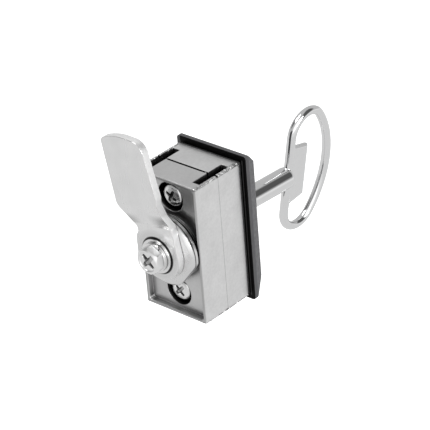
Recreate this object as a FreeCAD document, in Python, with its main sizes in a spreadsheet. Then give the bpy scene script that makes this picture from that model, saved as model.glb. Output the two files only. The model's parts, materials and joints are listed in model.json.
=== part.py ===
import FreeCAD, Part
import math
import os
import Sketcher

# Quarter turn cam lock for flat rods, in millimetres. +Z runs up the long side of
# the case, +Y runs along the spindle towards the key, and the origin is where the
# spindle axis meets the plane between the case and the gasket.

doc = FreeCAD.newDocument("CamLock")
sheet = doc.addObject("Spreadsheet::Sheet", "Sizes")

SIZES = [
    ("case_width", 30.0, "case, across the two rod slots"),
    ("case_height", 58.0, "case, along the rods"),
    ("case_depth", 24.8, "case, gasket side to rear rim"),
    ("case_corner", 0.5, "radius of the case's long corners"),
    ("seam_depth", 11.9, "depth of the front half"),
    ("seam_edge", 0.2, "chamfer along the seam"),
    ("rim_wall", 1.4, "rim round the rear recess"),
    ("rim_edge", 0.4, "bevel of the rim's edges"),
    ("recess_corner", 1.2, "corner radius of the rear recess"),
    ("rim_depth", 2.6, "depth of the rear recess"),
    ("boss_radius", 12.6, "low round boss round the spindle"),
    ("boss_height", 1.0, "height of that boss"),
    ("slot_inner", 10.23, "spindle axis to the inner side of a rod slot"),
    ("slot_width", 3.44, "rod slot, for a 3 mm flat rod"),
    ("slot_front", 4.4, "gasket side to the front of the slot"),
    ("slot_length", 16.4, "rod slot, for a 16 mm flat rod"),
    ("slot_round", 1.0, "rounded edge of the rear half beside a slot"),
    ("screw_pitch", 20.4, "spindle axis to each case screw"),
    ("screw_radius", 2.45, "case screw shank, M5"),
    ("screw_hole_gap", 0.25, "case screw in its hole"),
    ("screw_head_radius", 4.4, "case screw pan head"),
    ("screw_head_height", 3.6, "case screw pan head"),
    ("screw_crown_flat", 3.0, "flat top of the pan head"),
    ("screw_crown_shoulder", 3.9, "pan head where its rounding turns down"),
    ("screw_crown_drop", 0.45, "flat top down to that place"),
    ("screw_crown_height", 1.4, "rounded part of the pan head"),
    ("screw_recess_radius", 6.0, "round recess of the screw head"),
    ("screw_recess_depth", 4.6, "recess depth from the rear floor"),
    ("screw_reach", 3.4, "case screw into the front plate"),
    ("screw_tip_edge", 0.6, "bevel at the case screw's tip"),
    ("screw_cross_reach", 2.5, "cross recess of the case screw"),
    ("screw_cross_width", 1.2, "cross recess of the case screw"),
    ("screw_cross_depth", 2.0, "cross recess of the case screw"),
    ("cross_draft_angle", 8.0, "slope of the cross recess's walls, degrees"),
    ("locating_radius", 1.5, "pin between the two case halves"),
    ("locating_length", 8.0, "length of that pin"),
    ("locating_across", 7.0, "spindle axis to a locating pin, across"),
    ("locating_along", 26.0, "spindle axis to a locating pin, along"),
    ("barrel_radius", 8.0, "spindle barrel"),
    ("barrel_front", 1.3, "barrel's front face, ahead of the case"),
    ("barrel_length", 10.2, "barrel"),
    ("running_gap", 0.05, "radial clearance of what turns"),
    ("end_gap", 0.15, "end clearance of what turns"),
    ("well_radius", 5.4, "key well"),
    ("well_depth", 8.3, "key well in the barrel"),
    ("seal_width", 1.5, "rotor seal, a square cut ring"),
    ("seal_place", 2.6, "case front to the seal's groove centre"),
    ("seal_groove_depth", 1.5, "groove of the rotor seal"),
    ("seal_groove_width", 1.9, "groove of the rotor seal"),
    ("drive_square", 10.0, "square under the pinion"),
    ("pinion_width", 7.0, "drive pinion"),
    ("pinion_root", 9.4, "pinion root radius"),
    ("pinion_tip", 12.4, "pinion tip radius"),
    ("pinion_teeth", 10, "pinion teeth"),
    ("tooth_root_width", 4.0, "tooth at the root"),
    ("tooth_tip_width", 2.2, "tooth at the tip"),
    ("tooth_tip_radius", 1.4, "rounded tip of a tooth"),
    ("pinion_cavity_gap", 0.5, "pinion tip to the case"),
    ("journal_radius", 4.95, "rear journal of the spindle"),
    ("bushing_wall", 1.5, "rear bushing"),
    ("washer_clearance", 0.4, "thrust washer to the stop pin"),
    ("washer_thickness", 2.2, "thrust washer"),
    ("tail_square", 8.0, "square tail under the disc and the cam"),
    ("tail_corner", 1.1, "chamfer on the tail's corners"),
    ("tail_gap", 0.04, "clearance on the square tail"),
    ("disc_radius", 14.5, "stop disc"),
    ("disc_thickness", 3.2, "stop disc"),
    ("disc_flat", 12.95, "stop disc axis to each flat"),
    ("disc_flat_angle", -38.0, "direction of the first flat"),
    ("disc_bevel", 1.1, "bevel on the disc's rear edge"),
    ("disc_corner", 5.0, "rounding between the disc's flats and its rim"),
    ("stop_radius", 1.5, "stop pin"),
    ("stop_circle", 9.5, "spindle axis to the stop pin"),
    ("stop_angle", 225.0, "direction of the stop pin"),
    ("stop_depth", 1.7, "arc slot in the stop disc"),
    ("stop_seat", 4.6, "stop pin in the case"),
    ("turn_range", 90.0, "turn of the cam"),
    ("cam_lean_angle", 12.0, "cam at rest, past upright"),
    ("cam_thickness", 3.2, "cam plate"),
    ("cam_hub_radius", 10.3, "round end of the cam"),
    ("cam_neck_left", 7.2, "neck's left edge from the spindle axis"),
    ("cam_neck_right", 10.6, "neck's right edge"),
    ("cam_neck_height", 11.2, "spindle axis to the neck's corners"),
    ("cam_waist_right", 9.9, "narrowest place of the right edge"),
    ("cam_waist_height", 17.0, "spindle axis to that place"),
    ("cam_blade_left", 9.45, "blade's left edge"),
    ("cam_blade_left_height", 20.5, "spindle axis to the blade's left corner"),
    ("cam_blade_right", 12.2, "blade's right edge"),
    ("cam_blade_right_height", 26.0, "spindle axis to the blade's right corner"),
    ("cam_tip_left", 8.95, "tip's left corner"),
    ("cam_tip_right", 11.4, "tip's right corner"),
    ("cam_length", 50.0, "spindle axis to the tip"),
    ("cam_tip_fall", 1.2, "tip's right corner under the tip"),
    ("cam_corner_right", 5.5, "rounded corner of the tip, right"),
    ("cam_corner_right_run", 5.0, "that corner, across"),
    ("cam_corner_left", 2.0, "rounded corner of the tip, left"),
    ("cam_corner_left_run", 1.8, "that corner, across"),
    ("cam_corner_left_start", 0.6, "that corner's upper end under the tip"),
    ("cam_corner_left_end", 2.6, "that corner's lower end under the tip"),
    ("cam_side_round", 6.0, "rounding of the side edges' corners"),
    ("cam_crown", 26.0, "radius of the cam's tip"),
    ("cam_bend_start", 12.2, "spindle axis to the first bend"),
    ("cam_bend_end", 23.4, "spindle axis to the second bend"),
    ("cam_offset", 4.9, "offset of the blade to the rear"),
    ("cam_bend_radius", 2.2, "inner radius of the bends"),
    ("flat_washer_radius", 7.0, "washer on the cam"),
    ("flat_washer_thickness", 1.0, "washer on the cam"),
    ("spring_washer_radius", 5.9, "split lock washer"),
    ("spring_washer_thickness", 1.4, "split lock washer"),
    ("spring_washer_split", 1.0, "gap of the split"),
    ("spring_washer_slant", 0.84, "lean of the split, over half its height"),
    ("spring_washer_angle", 75.0, "direction of the split, from the cam, degrees"),
    ("cam_screw_radius", 2.95, "M6 screw"),
    ("cam_screw_length", 15.0, "M6 screw under its head"),
    ("cam_screw_across_flats", 10.0, "hexagon head"),
    ("cam_screw_head", 3.6, "height of the hexagon head"),
    ("head_angle", 15.0, "direction of the hexagon's first corner"),
    ("head_bevel", 0.6, "bevel on the hexagon's corners, along the axis"),
    ("head_bevel_width", 0.9, "that bevel across the corners"),
    ("dish_radius", 3.6, "dish in the hexagon head"),
    ("dish_depth", 0.5, "dish in the hexagon head"),
    ("head_cross_reach", 2.8, "cross recess of the hexagon head"),
    ("head_cross_width", 1.4, "cross recess of the hexagon head"),
    ("head_cross_depth", 2.2, "cross recess of the hexagon head"),
    ("hole_gap", 0.1, "screws and washers in or on each other"),
    ("gasket_inset", 0.4, "gasket inside the case outline"),
    ("gasket_thickness", 1.5, "gasket"),
    ("gasket_edge", 0.35, "bevel of the gasket's edge"),
    ("plate_overhang", 2.0, "front plate past the case's sides"),
    ("plate_end_overhang", 2.1, "front plate past the case's ends"),
    ("plate_corner", 1.2, "corner radius of the front plate"),
    ("plate_round", 0.6, "rounding of the raised part's long edges"),
    ("well_edge", 0.4, "bevel at the mouth of the key well"),
    ("plate_thickness", 5.1, "front plate"),
    ("plate_base", 1.9, "front plate's upright side"),
    ("plate_draft_angle", 4.0, "slope of the raised part's sides, degrees"),
    ("plate_top_slope", 3.8, "length of the short slope at the top"),
    ("plate_foot_slope", 9.2, "length of the long slope at the foot"),
    ("plate_slope_drop", 3.1, "drop of both slopes"),
    ("key_pivot", 7.8, "where the key's axis meets the spindle's"),
    ("key_droop_angle", 2.9, "play of the key in its well, degrees"),
    ("key_roll_angle", 8.2, "turn of the key's bow, degrees"),
    ("key_radius", 4.46, "key tube"),
    ("key_bore", 3.1, "bore of the key tube"),
    ("key_insert", 13.8, "key tube behind that point"),
    ("key_bore_depth", 12.0, "bore of the key tube"),
    ("key_slot_width", 4.2, "slots in the key tube"),
    ("key_slot_depth", 5.2, "slots in the key tube"),
    ("key_tip_edge", 0.4, "bevel at the key's tip"),
    ("key_shoulder", 1.6, "rounding of the tube's other end"),
    ("bow_wire", 1.85, "half thickness of the bow's round bar"),
    ("bow_start", 36.8, "bow's straight side from the pivot"),
    ("bow_corner", 9.2, "corner radius of the bow"),
    ("bow_far_radius", 36.8, "radius of the bow's far side"),
    ("bow_far_centre", 24.3, "centre of that arc, from the pivot"),
    ("web_half_height", 13.7, "half height of the plate in the bow"),
    ("web_end_half", 11.6, "the same at its free edge"),
    ("web_reach", 10.2, "plate from the straight side"),
    ("web_thickness", 2.8, "plate in the bow"),
    ("web_bevel", 0.8, "bevel on the plate's edges"),
    ("drive_pin_radius", 2.0, "pin in the key well"),
    ("drive_pin_length", 6.0, "pin in the key well"),
    ("drive_pin_edge", 0.4, "bevel at the pin's tip"),
    ("bit_width", 3.0, "two bits on the pin"),
    ("bit_reach", 4.4, "bits from the axis"),
    ("bit_length", 4.6, "bits along the axis"),
]

for row, (alias, number, note) in enumerate(SIZES, start=1):
    sheet.set(f"A{row}", alias)
    sheet.set(f"B{row}", str(number))
    sheet.setAlias(f"B{row}", alias)
    sheet.set(f"C{row}", note)
doc.recompute()


class Size:
    """A number together with the sheet formula that gives it."""

    def __init__(self, value, text):
        self.value = float(value)
        self.text = text

    def __add__(self, other):
        other = as_size(other)
        return Size(self.value + other.value, f"({self.text} + {other.text})")

    def __radd__(self, other):
        return as_size(other) + self

    def __sub__(self, other):
        other = as_size(other)
        return Size(self.value - other.value, f"({self.text} - {other.text})")

    def __rsub__(self, other):
        return as_size(other) - self

    def __mul__(self, other):
        other = as_size(other)
        return Size(self.value * other.value, f"({self.text} * {other.text})")

    def __rmul__(self, other):
        return as_size(other) * self

    def __truediv__(self, other):
        other = as_size(other)
        return Size(self.value / other.value, f"({self.text} / {other.text})")

    def __neg__(self):
        return Size(-self.value, f"(0 - {self.text})")


def as_size(item):
    return item if isinstance(item, Size) else Size(item, f"({item})")


def size(alias):
    return Size(sheet.get(alias), f"Sizes.{alias}")


def sine(angle):
    angle = as_size(angle)
    return Size(math.sin(math.radians(angle.value)), f"sin({angle.text} * 1 deg)")


def cosine(angle):
    angle = as_size(angle)
    return Size(math.cos(math.radians(angle.value)), f"cos({angle.text} * 1 deg)")


def root(item):
    return Size(math.sqrt(item.value), f"sqrt({item.text})")


def bind(feature, path, item):
    feature.setExpression(path, as_size(item).text)


def new_body(name):
    body = doc.addObject("PartDesign::Body", name)
    body.Label = name
    return body


def new_sketch(body, name, role, level=0):
    """A sketch on one of the body's own origin planes, moved along its normal."""
    sketch = body.newObject("Sketcher::SketchObject", f"{body.Name}_{name}")
    plane = [item for item in body.Origin.OriginFeatures if item.Role == role][0]
    sketch.AttachmentSupport = (plane, [""])
    sketch.MapMode = "FlatFace"
    bind(sketch, "AttachmentOffset.Base.z", level)
    return sketch


def across(body, name, front):
    """A sketch square to the spindle at y = front: its x is X and its y is Z."""
    return new_sketch(body, name, "XZ_Plane", 0 - as_size(front))


def along(body, name):
    """A sketch in the plane of the spindle axis: its x is Y and its y is Z."""
    return new_sketch(body, name, "YZ_Plane")


def constrain(sketch, kind, geometry, point, item):
    item = as_size(item)
    index = sketch.addConstraint(Sketcher.Constraint(kind, geometry, point, item.value))
    sketch.setExpression(f"Constraints[{index}]", item.text)


def fix_point(sketch, geometry, point, x, y):
    constrain(sketch, "DistanceX", geometry, point, x)
    constrain(sketch, "DistanceY", geometry, point, y)


def add_circle(sketch, x, y, radius):
    x, y, radius = as_size(x), as_size(y), as_size(radius)
    centre = FreeCAD.Vector(x.value, y.value, 0)
    circle = Part.Circle(centre, FreeCAD.Vector(0, 0, 1), radius.value)
    index = sketch.addGeometry(circle, False)
    fix_point(sketch, index, 3, x, y)
    radius_index = sketch.addConstraint(Sketcher.Constraint("Radius", index, radius.value))
    sketch.setExpression(f"Constraints[{radius_index}]", radius.text)


def arc_between(start, end, radius):
    """The shorter arc from start to end: anticlockwise for a positive radius."""
    sense = 1 if radius > 0 else -1
    chord = end - start
    middle = (start + end) * 0.5
    rise = math.sqrt(max(radius * radius - chord.Length * chord.Length / 4, 0.0))
    side = FreeCAD.Vector(-chord.y, chord.x, 0).normalize()
    centre = middle + side * (rise * sense)
    first, last = (start, end) if sense > 0 else (end, start)
    a = math.atan2(first.y - centre.y, first.x - centre.x)
    b = math.atan2(last.y - centre.y, last.x - centre.x)
    circle = Part.Circle(centre, FreeCAD.Vector(0, 0, 1), abs(radius))
    return Part.ArcOfCircle(circle, a, b), sense


def add_outline(sketch, corners):
    """A closed outline. A corner is (x, y), or (x, y, radius) where an arc leaves it."""
    points = [FreeCAD.Vector(as_size(c[0]).value, as_size(c[1]).value, 0) for c in corners]
    ends = []
    for place, corner in enumerate(corners):
        start = points[place]
        end = points[(place + 1) % len(points)]
        if len(corner) == 3:
            radius = as_size(corner[2])
            arc, sense = arc_between(start, end, radius.value)
            index = sketch.addGeometry(arc, False)
            ends.append((index, 1, 2) if sense > 0 else (index, 2, 1))
            length = Size(abs(radius.value), f"abs({radius.text})")
            number = sketch.addConstraint(Sketcher.Constraint("Radius", index, length.value))
            sketch.setExpression(f"Constraints[{number}]", length.text)
        else:
            index = sketch.addGeometry(Part.LineSegment(start, end), False)
            ends.append((index, 1, 2))
    for place, corner in enumerate(corners):
        index, first, last = ends[place]
        next_index, next_first, next_last = ends[(place + 1) % len(ends)]
        sketch.addConstraint(Sketcher.Constraint("Coincident", index, last, next_index, next_first))
        fix_point(sketch, index, first, corner[0], corner[1])


def add_box(sketch, left, low, right, high):
    add_outline(sketch, [(left, low), (right, low), (right, high), (left, high)])


def add_rounded_box(sketch, half_x, half_y, radius):
    x, y, r = as_size(half_x), as_size(half_y), as_size(radius)
    add_outline(sketch, [
        (x, 0 - y + r), (x, y - r, r), (x - r, y), (0 - x + r, y, r),
        (0 - x, y - r), (0 - x, 0 - y + r, r), (0 - x + r, 0 - y), (x - r, 0 - y, r),
    ])


def pad(body, sketch, length, forward=False, both=False):
    """Adds material towards the rear from a sketch made by across()."""
    feature = body.newObject("PartDesign::Pad", f"{sketch.Name}_pad")
    feature.Profile = sketch
    bind(feature, "Length", length)
    feature.Reversed = forward
    if both:
        feature.SideType = "Symmetric"
    body.Tip = feature
    return feature


def cut(body, sketch, length=None, forward=False, both=False):
    """Cuts towards the rear from a sketch made by across(), or right through."""
    feature = body.newObject("PartDesign::Pocket", f"{sketch.Name}_cut")
    feature.Profile = sketch
    if length is None:
        feature.Type = "ThroughAll"
    else:
        bind(feature, "Length", length)
    feature.Reversed = not forward
    if both:
        feature.SideType = "Symmetric"
    body.Tip = feature
    return feature


def turn(body, sketch, removing=False):
    """Turns a sketch made by along() about the spindle axis."""
    kind = "Groove" if removing else "Revolution"
    feature = body.newObject(f"PartDesign::{kind}", f"{sketch.Name}_turn")
    feature.Profile = sketch
    feature.ReferenceAxis = (sketch, ["H_Axis"])
    feature.Angle = 360
    body.Tip = feature
    return feature


def edges_where(body, test):
    """Names of the edges of the body's newest shape whose ends both pass a test."""
    doc.recompute()
    names = []
    for index, edge in enumerate(body.Tip.Shape.Edges, start=1):
        spots = [edge.valueAt(edge.FirstParameter + share * (edge.LastParameter - edge.FirstParameter))
                 for share in (0.0, 0.5, 1.0)]
        if all(test(spot) for spot in spots):
            names.append(f"Edge{index}")
    return names


def dress(body, kind, test, item, name):
    """A fillet or a chamfer on the edges that pass a test."""
    names = edges_where(body, test)
    base = body.Tip
    feature = body.newObject(f"PartDesign::{kind}", f"{body.Name}_{name}")
    feature.Base = (base, names)
    bind(feature, "Radius" if kind == "Fillet" else "Size", item)
    body.Tip = feature
    return feature


def near(a, b, slack=0.01):
    return abs(a - as_size(b).value) < slack


# Planes square to the spindle, counted towards the front
half_width = size("case_width") / 2
half_height = size("case_height") / 2
seam = 0 - size("seam_depth")
rim_plane = 0 - size("case_depth")
floor_plane = rim_plane + size("rim_depth")
boss_plane = floor_plane - size("boss_height")
head_seat = floor_plane + size("screw_recess_depth")
barrel_end = size("barrel_front") - size("barrel_length")
pinion_front = barrel_end - size("end_gap")
pinion_rear = pinion_front - size("pinion_width")
cavity_rear = pinion_rear - size("end_gap")
washer_front = boss_plane - size("end_gap") / 2
washer_radius = size("stop_circle") - size("stop_radius") - size("washer_clearance")
disc_front = washer_front - size("washer_thickness")
cam_front = disc_front - size("disc_thickness")
cam_rear = cam_front - size("cam_thickness")
flat_washer_rear = cam_rear - size("flat_washer_thickness")
spring_washer_rear = flat_washer_rear - size("spring_washer_thickness")
cam_screw_face = spring_washer_rear - size("cam_screw_head")
plate_rear = size("gasket_thickness")
plate_front = plate_rear + size("plate_thickness")
cavity_radius = size("pinion_tip") + size("pinion_cavity_gap")
barrel_bore = size("barrel_radius") + size("running_gap")
bushing_bore = size("journal_radius") + size("running_gap")
bushing_radius = bushing_bore + size("bushing_wall")
screw_hole = size("screw_radius") + size("screw_hole_gap")
slot_outer = size("slot_inner") + size("slot_width")
slot_rear = 0 - size("slot_front") - size("slot_length")


def rod_slots(body, far_end, rounded):
    """The two rod slots from the seam to far_end, cut from one end to the other."""
    rounding = size("slot_round")
    for side in (1, -1):
        sketch = new_sketch(body, "slot_right" if side > 0 else "slot_left", "XY_Plane")
        inner, outer = size("slot_inner") * side, slot_outer * side
        corners = [(inner, far_end), (outer, far_end), (outer, seam)]
        if rounded:
            corners += [(inner - rounding * side, seam, 0 - rounding * side), (inner, seam - rounding)]
        else:
            corners += [(inner, seam)]
        add_outline(sketch, corners)
        cut(body, sketch, both=True)


def screw_holes(body, front):
    sketch = across(body, "screw_holes", front)
    for side in (1, -1):
        add_circle(sketch, 0, size("screw_pitch") * side, screw_hole)
    cut(body, sketch)


def locating_holes(body, forward):
    sketch = across(body, "locating_holes", seam)
    for side in (1, -1):
        add_circle(sketch, size("locating_across") * side, size("locating_along") * side,
                   size("locating_radius"))
    cut(body, sketch, size("locating_length") / 2 + size("end_gap"), forward=forward)


def on_seam_edge(spot):
    rim = near(abs(spot.x), half_width) or near(abs(spot.z), half_height)
    return near(spot.y, seam) and rim


def make_rear_housing():
    body = new_body("rear_housing")
    block = across(body, "block", seam)
    add_rounded_box(block, half_width, half_height, size("case_corner"))
    pad(body, block, size("case_depth") - size("seam_depth"))
    recess = across(body, "recess", floor_plane)
    inner = size("rim_wall")
    add_rounded_box(recess, half_width - inner, half_height - inner, size("recess_corner"))
    cut(body, recess)
    boss = across(body, "boss", floor_plane)
    add_circle(boss, 0, 0, size("boss_radius"))
    pad(body, boss, size("boss_height"))
    cavity = across(body, "cavity", seam)
    add_circle(cavity, 0, 0, cavity_radius)
    cut(body, cavity, seam - cavity_rear)
    bore = across(body, "bore", seam)
    add_circle(bore, 0, 0, bushing_radius)
    cut(body, bore)
    rod_slots(body, slot_rear, rounded=True)
    screw_holes(body, seam)
    recesses = across(body, "head_recesses", head_seat)
    for side in (1, -1):
        add_circle(recesses, 0, size("screw_pitch") * side, size("screw_recess_radius"))
    cut(body, recesses)
    locating_holes(body, forward=False)
    stop = across(body, "stop_hole", boss_plane)
    add_circle(stop, size("stop_circle") * cosine(size("stop_angle")),
               size("stop_circle") * sine(size("stop_angle")), size("stop_radius"))
    cut(body, stop, size("stop_seat"), forward=True)
    dress(body, "Chamfer", lambda spot: near(spot.y, rim_plane), size("rim_edge"), "rim_edge")
    dress(body, "Chamfer", on_seam_edge, size("seam_edge"), "seam_edge")
    return body


def make_front_housing():
    body = new_body("front_housing")
    block = across(body, "block", 0)
    add_rounded_box(block, half_width, half_height, size("case_corner"))
    pad(body, block, size("seam_depth"))
    bore = across(body, "bore", 0)
    add_circle(bore, 0, 0, barrel_bore)
    cut(body, bore)
    cavity = across(body, "cavity", barrel_end)
    add_circle(cavity, 0, 0, cavity_radius)
    cut(body, cavity)
    rod_slots(body, 0 - size("slot_front"), rounded=False)
    screw_holes(body, 0)
    locating_holes(body, forward=True)
    dress(body, "Chamfer", on_seam_edge, size("seam_edge"), "seam_edge")
    return body


def make_gasket():
    body = new_body("gasket")
    sheet_sketch = across(body, "sheet", size("gasket_thickness"))
    inset = size("gasket_inset")
    add_rounded_box(sheet_sketch, half_width - inset, half_height - inset, size("case_corner"))
    pad(body, sheet_sketch, size("gasket_thickness"))
    holes = across(body, "holes", size("gasket_thickness"))
    add_circle(holes, 0, 0, barrel_bore + size("end_gap"))
    for side in (1, -1):
        add_circle(holes, 0, size("screw_pitch") * side, screw_hole)
    cut(body, holes)

    def outer_edge(spot):
        margin = (inset + size("case_corner")).value + 0.01
        wide = abs(spot.x) > half_width.value - margin or abs(spot.z) > half_height.value - margin
        flat = near(spot.y, 0) or near(spot.y, size("gasket_thickness"))
        return wide and flat

    dress(body, "Chamfer", outer_edge, size("gasket_edge"), "edge")
    return body


def make_front_plate():
    body = new_body("front_plate")
    half_across = half_width + size("plate_overhang")
    top = half_height + size("plate_end_overhang")
    base = across(body, "base", plate_rear + size("plate_base"))
    add_rounded_box(base, half_across, top, size("plate_corner"))
    pad(body, base, size("plate_base"))
    raised = across(body, "raised", plate_rear + size("plate_base"))
    add_rounded_box(raised, half_across, top, size("plate_corner"))
    rise = pad(body, raised, size("plate_thickness") - size("plate_base"), forward=True)
    bind(rise, "TaperAngle", 0 - size("plate_draft_angle"))
    slopes = along(body, "slopes")
    drop = plate_front - size("plate_slope_drop")
    past = size("plate_slope_drop")
    beyond = plate_front + past
    top_start = top - size("plate_top_slope")
    add_outline(slopes, [(plate_front, top_start), (beyond, top_start), (beyond, top + past),
                         (drop, top + past), (drop, top)])
    foot = 0 - top
    foot_start = foot + size("plate_foot_slope")
    add_outline(slopes, [(plate_front, foot_start), (drop, foot), (drop, foot - past),
                         (beyond, foot - past), (beyond, foot_start)])
    cut(body, slopes, both=True)
    well = across(body, "well", plate_front)
    add_circle(well, 0, 0, size("well_radius"))
    cut(body, well)
    threads = across(body, "threads", plate_rear)
    for side in (1, -1):
        add_circle(threads, 0, size("screw_pitch") * side, size("screw_radius"))
    cut(body, threads, size("screw_reach") + size("end_gap"), forward=True)

    def mouth(spot):
        return near(spot.y, plate_front) and near(math.hypot(spot.x, spot.z), size("well_radius"))

    dress(body, "Chamfer", mouth, size("well_edge"), "mouth")

    def long_edge(spot):
        return spot.y > plate_front.value - 0.01 and abs(spot.x) > half_width.value

    dress(body, "Fillet", long_edge, size("plate_round"), "long_edges")
    return body


def make_spindle():
    body = new_body("spindle")
    barrel = along(body, "barrel")
    front = size("barrel_front")
    groove_floor = size("barrel_radius") - size("seal_groove_depth")
    groove_front = 0 - size("seal_place") + size("seal_groove_width") / 2
    groove_rear = 0 - size("seal_place") - size("seal_groove_width") / 2
    well_floor = front - size("well_depth")
    add_outline(barrel, [
        (well_floor, 0), (well_floor, size("well_radius")), (front, size("well_radius")),
        (front, size("barrel_radius")), (groove_front, size("barrel_radius")),
        (groove_front, groove_floor), (groove_rear, groove_floor),
        (groove_rear, size("barrel_radius")), (barrel_end, size("barrel_radius")),
        (barrel_end, 0),
    ])
    turn(body, barrel)
    square = across(body, "square", barrel_end)
    half = size("drive_square") / 2
    add_box(square, 0 - half, 0 - half, half, half)
    pad(body, square, barrel_end - cavity_rear)
    journal = across(body, "journal", cavity_rear)
    add_circle(journal, 0, 0, size("journal_radius"))
    pad(body, journal, cavity_rear - disc_front)
    tail = across(body, "tail", disc_front)
    add_square_with_corners(tail, size("tail_square") / 2, size("tail_corner"))
    pad(body, tail, disc_front - cam_rear - size("end_gap") * 2)
    thread = across(body, "thread", spring_washer_rear + size("cam_screw_length") + size("end_gap"))
    add_circle(thread, 0, 0, size("cam_screw_radius"))
    cut(body, thread)
    place_turned(body, size("cam_lean_angle"))
    return body


def add_square_with_corners(sketch, half, corner):
    low = half - corner
    add_outline(sketch, [
        (half, 0 - low), (half, low), (low, half), (0 - low, half),
        (0 - half, low), (0 - half, 0 - low), (0 - low, 0 - half), (low, 0 - half),
    ])


def make_key_pin():
    """The pin in the key well, with the two bits that turn with the key."""
    body = new_body("key_pin")
    well_floor = size("barrel_front") - size("well_depth")
    shaft = across(body, "shaft", well_floor + size("drive_pin_length"))
    add_circle(shaft, 0, 0, size("drive_pin_radius"))
    pad(body, shaft, size("drive_pin_length"))
    bits = across(body, "bits", well_floor + size("bit_length"))
    half = size("bit_width") / 2
    add_box(bits, 0 - half, 0 - size("bit_reach"), half, size("bit_reach"))
    pad(body, bits, size("bit_length"))

    def tip(spot):
        return near(spot.y, well_floor + size("drive_pin_length"))

    dress(body, "Chamfer", tip, size("drive_pin_edge"), "tip")
    place_turned(body, 0 - size("key_roll_angle"))
    return body


def place_turned(body, angle):
    """Turns a finished body about the spindle axis, positive from up towards the left."""
    body.Placement = FreeCAD.Placement(FreeCAD.Vector(), FreeCAD.Rotation(FreeCAD.Vector(0, -1, 0), 1))
    bind(body, "Placement.Rotation.Angle", angle)


def make_ring(name, inner, outer, front, thickness):
    body = new_body(name)
    ring = across(body, "ring", front)
    add_circle(ring, 0, 0, outer)
    add_circle(ring, 0, 0, inner)
    pad(body, ring, thickness)
    return body


def make_rotor_seal():
    """Square cut rubber ring that fills its groove down to the floor."""
    inner = size("barrel_radius") - size("seal_groove_depth")
    front = size("seal_width") / 2 - size("seal_place")
    return make_ring("rotor_seal", inner, size("barrel_radius"), front, size("seal_width"))


def make_drive_pinion():
    """Pinion whose rounded teeth reach into the rod slots."""
    body = new_body("drive_pinion")
    blank = across(body, "blank", pinion_front)
    add_circle(blank, 0, 0, size("pinion_root"))
    pad(body, blank, size("pinion_width"))
    tooth = across(body, "tooth", pinion_front)
    root_half = size("tooth_root_width") / 2
    tip_half = size("tooth_tip_width") / 2
    sunk = size("pinion_root") - tip_half
    rounding = size("tooth_tip_radius")
    tip = size("pinion_tip") - rounding + root(rounding * rounding - tip_half * tip_half)
    add_outline(tooth, [
        (sunk, 0 - root_half), (size("pinion_root"), 0 - root_half),
        (tip, 0 - tip_half, rounding), (tip, tip_half),
        (size("pinion_root"), root_half), (sunk, root_half),
    ])
    one = pad(body, tooth, size("pinion_width"))
    teeth = body.newObject("PartDesign::PolarPattern", "drive_pinion_teeth")
    teeth.Originals = [one]
    axis = [item for item in body.Origin.OriginFeatures if item.Role == "Y_Axis"][0]
    teeth.Axis = (axis, [""])
    teeth.Angle = 360
    bind(teeth, "Occurrences", size("pinion_teeth"))
    body.Tip = teeth
    hole = across(body, "square_hole", pinion_front)
    half = size("drive_square") / 2 + size("tail_gap")
    add_box(hole, 0 - half, 0 - half, half, half)
    cut(body, hole)
    place_turned(body, size("cam_lean_angle"))
    return body


def make_stop_disc():
    body = new_body("stop_disc")
    disc = across(body, "disc", disc_front)
    radius, flat = size("disc_radius"), size("disc_flat")
    reach = root(radius * radius - flat * flat)
    add_outline(disc, [
        (flat, 0 - reach), (flat, reach, radius), (0, radius, radius),
        (0 - flat, reach), (0 - flat, 0 - reach, radius), (0, 0 - radius, radius),
    ])
    pad(body, disc, size("disc_thickness"))

    def flat_end(spot):
        return near(abs(spot.x), flat) and near(abs(spot.z), reach)

    dress(body, "Fillet", flat_end, size("disc_corner"), "corners")

    def rear_edge(spot):
        return near(spot.y, cam_front)

    dress(body, "Chamfer", rear_edge, size("disc_bevel"), "bevel")
    hole = across(body, "square_hole", disc_front)
    add_turned_square(hole, size("tail_square") / 2 + size("tail_gap"), size("tail_corner"),
                      size("cam_lean_angle") - size("disc_flat_angle"))
    cut(body, hole)
    arc = across(body, "stop_slot", disc_front)
    end_play = size("end_gap")
    low = size("stop_angle") - (size("turn_range") - size("cam_lean_angle")) - size("disc_flat_angle")
    high = size("stop_angle") + size("cam_lean_angle") - size("disc_flat_angle")
    add_arc_slot(arc, size("stop_circle"), size("stop_radius") + end_play, low, high)
    cut(body, arc, size("stop_depth"))
    place_turned(body, size("disc_flat_angle"))
    return body


def add_turned_square(sketch, half, corner, angle):
    """A square with cut corners, turned in its sketch."""
    low = half - corner
    shape = [(half, 0 - low), (half, low), (low, half), (0 - low, half),
             (0 - half, low), (0 - half, 0 - low), (0 - low, 0 - half), (low, 0 - half)]
    c, s = cosine(angle), sine(angle)
    add_outline(sketch, [(x * c - y * s, x * s + y * c) for x, y in shape])


def add_arc_slot(sketch, circle, half, low, high):
    """A slot with round ends along an arc about the origin."""
    inner, outer = circle - half, circle + half
    middle = (low + high) / 2

    def spot(radius, angle):
        return radius * cosine(angle), radius * sine(angle)

    def crest(angle, sense):
        """The middle of the round end at an angle."""
        x, y = spot(circle, angle)
        return x - half * sine(angle) * sense, y + half * cosine(angle) * sense

    add_outline(sketch, [
        (*spot(outer, low), outer), (*spot(outer, middle), outer),
        (*spot(outer, high), half), (*crest(high, 1), half),
        (*spot(inner, high), 0 - inner), (*spot(inner, middle), 0 - inner),
        (*spot(inner, low), half), (*crest(low, -1), half),
    ])


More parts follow.
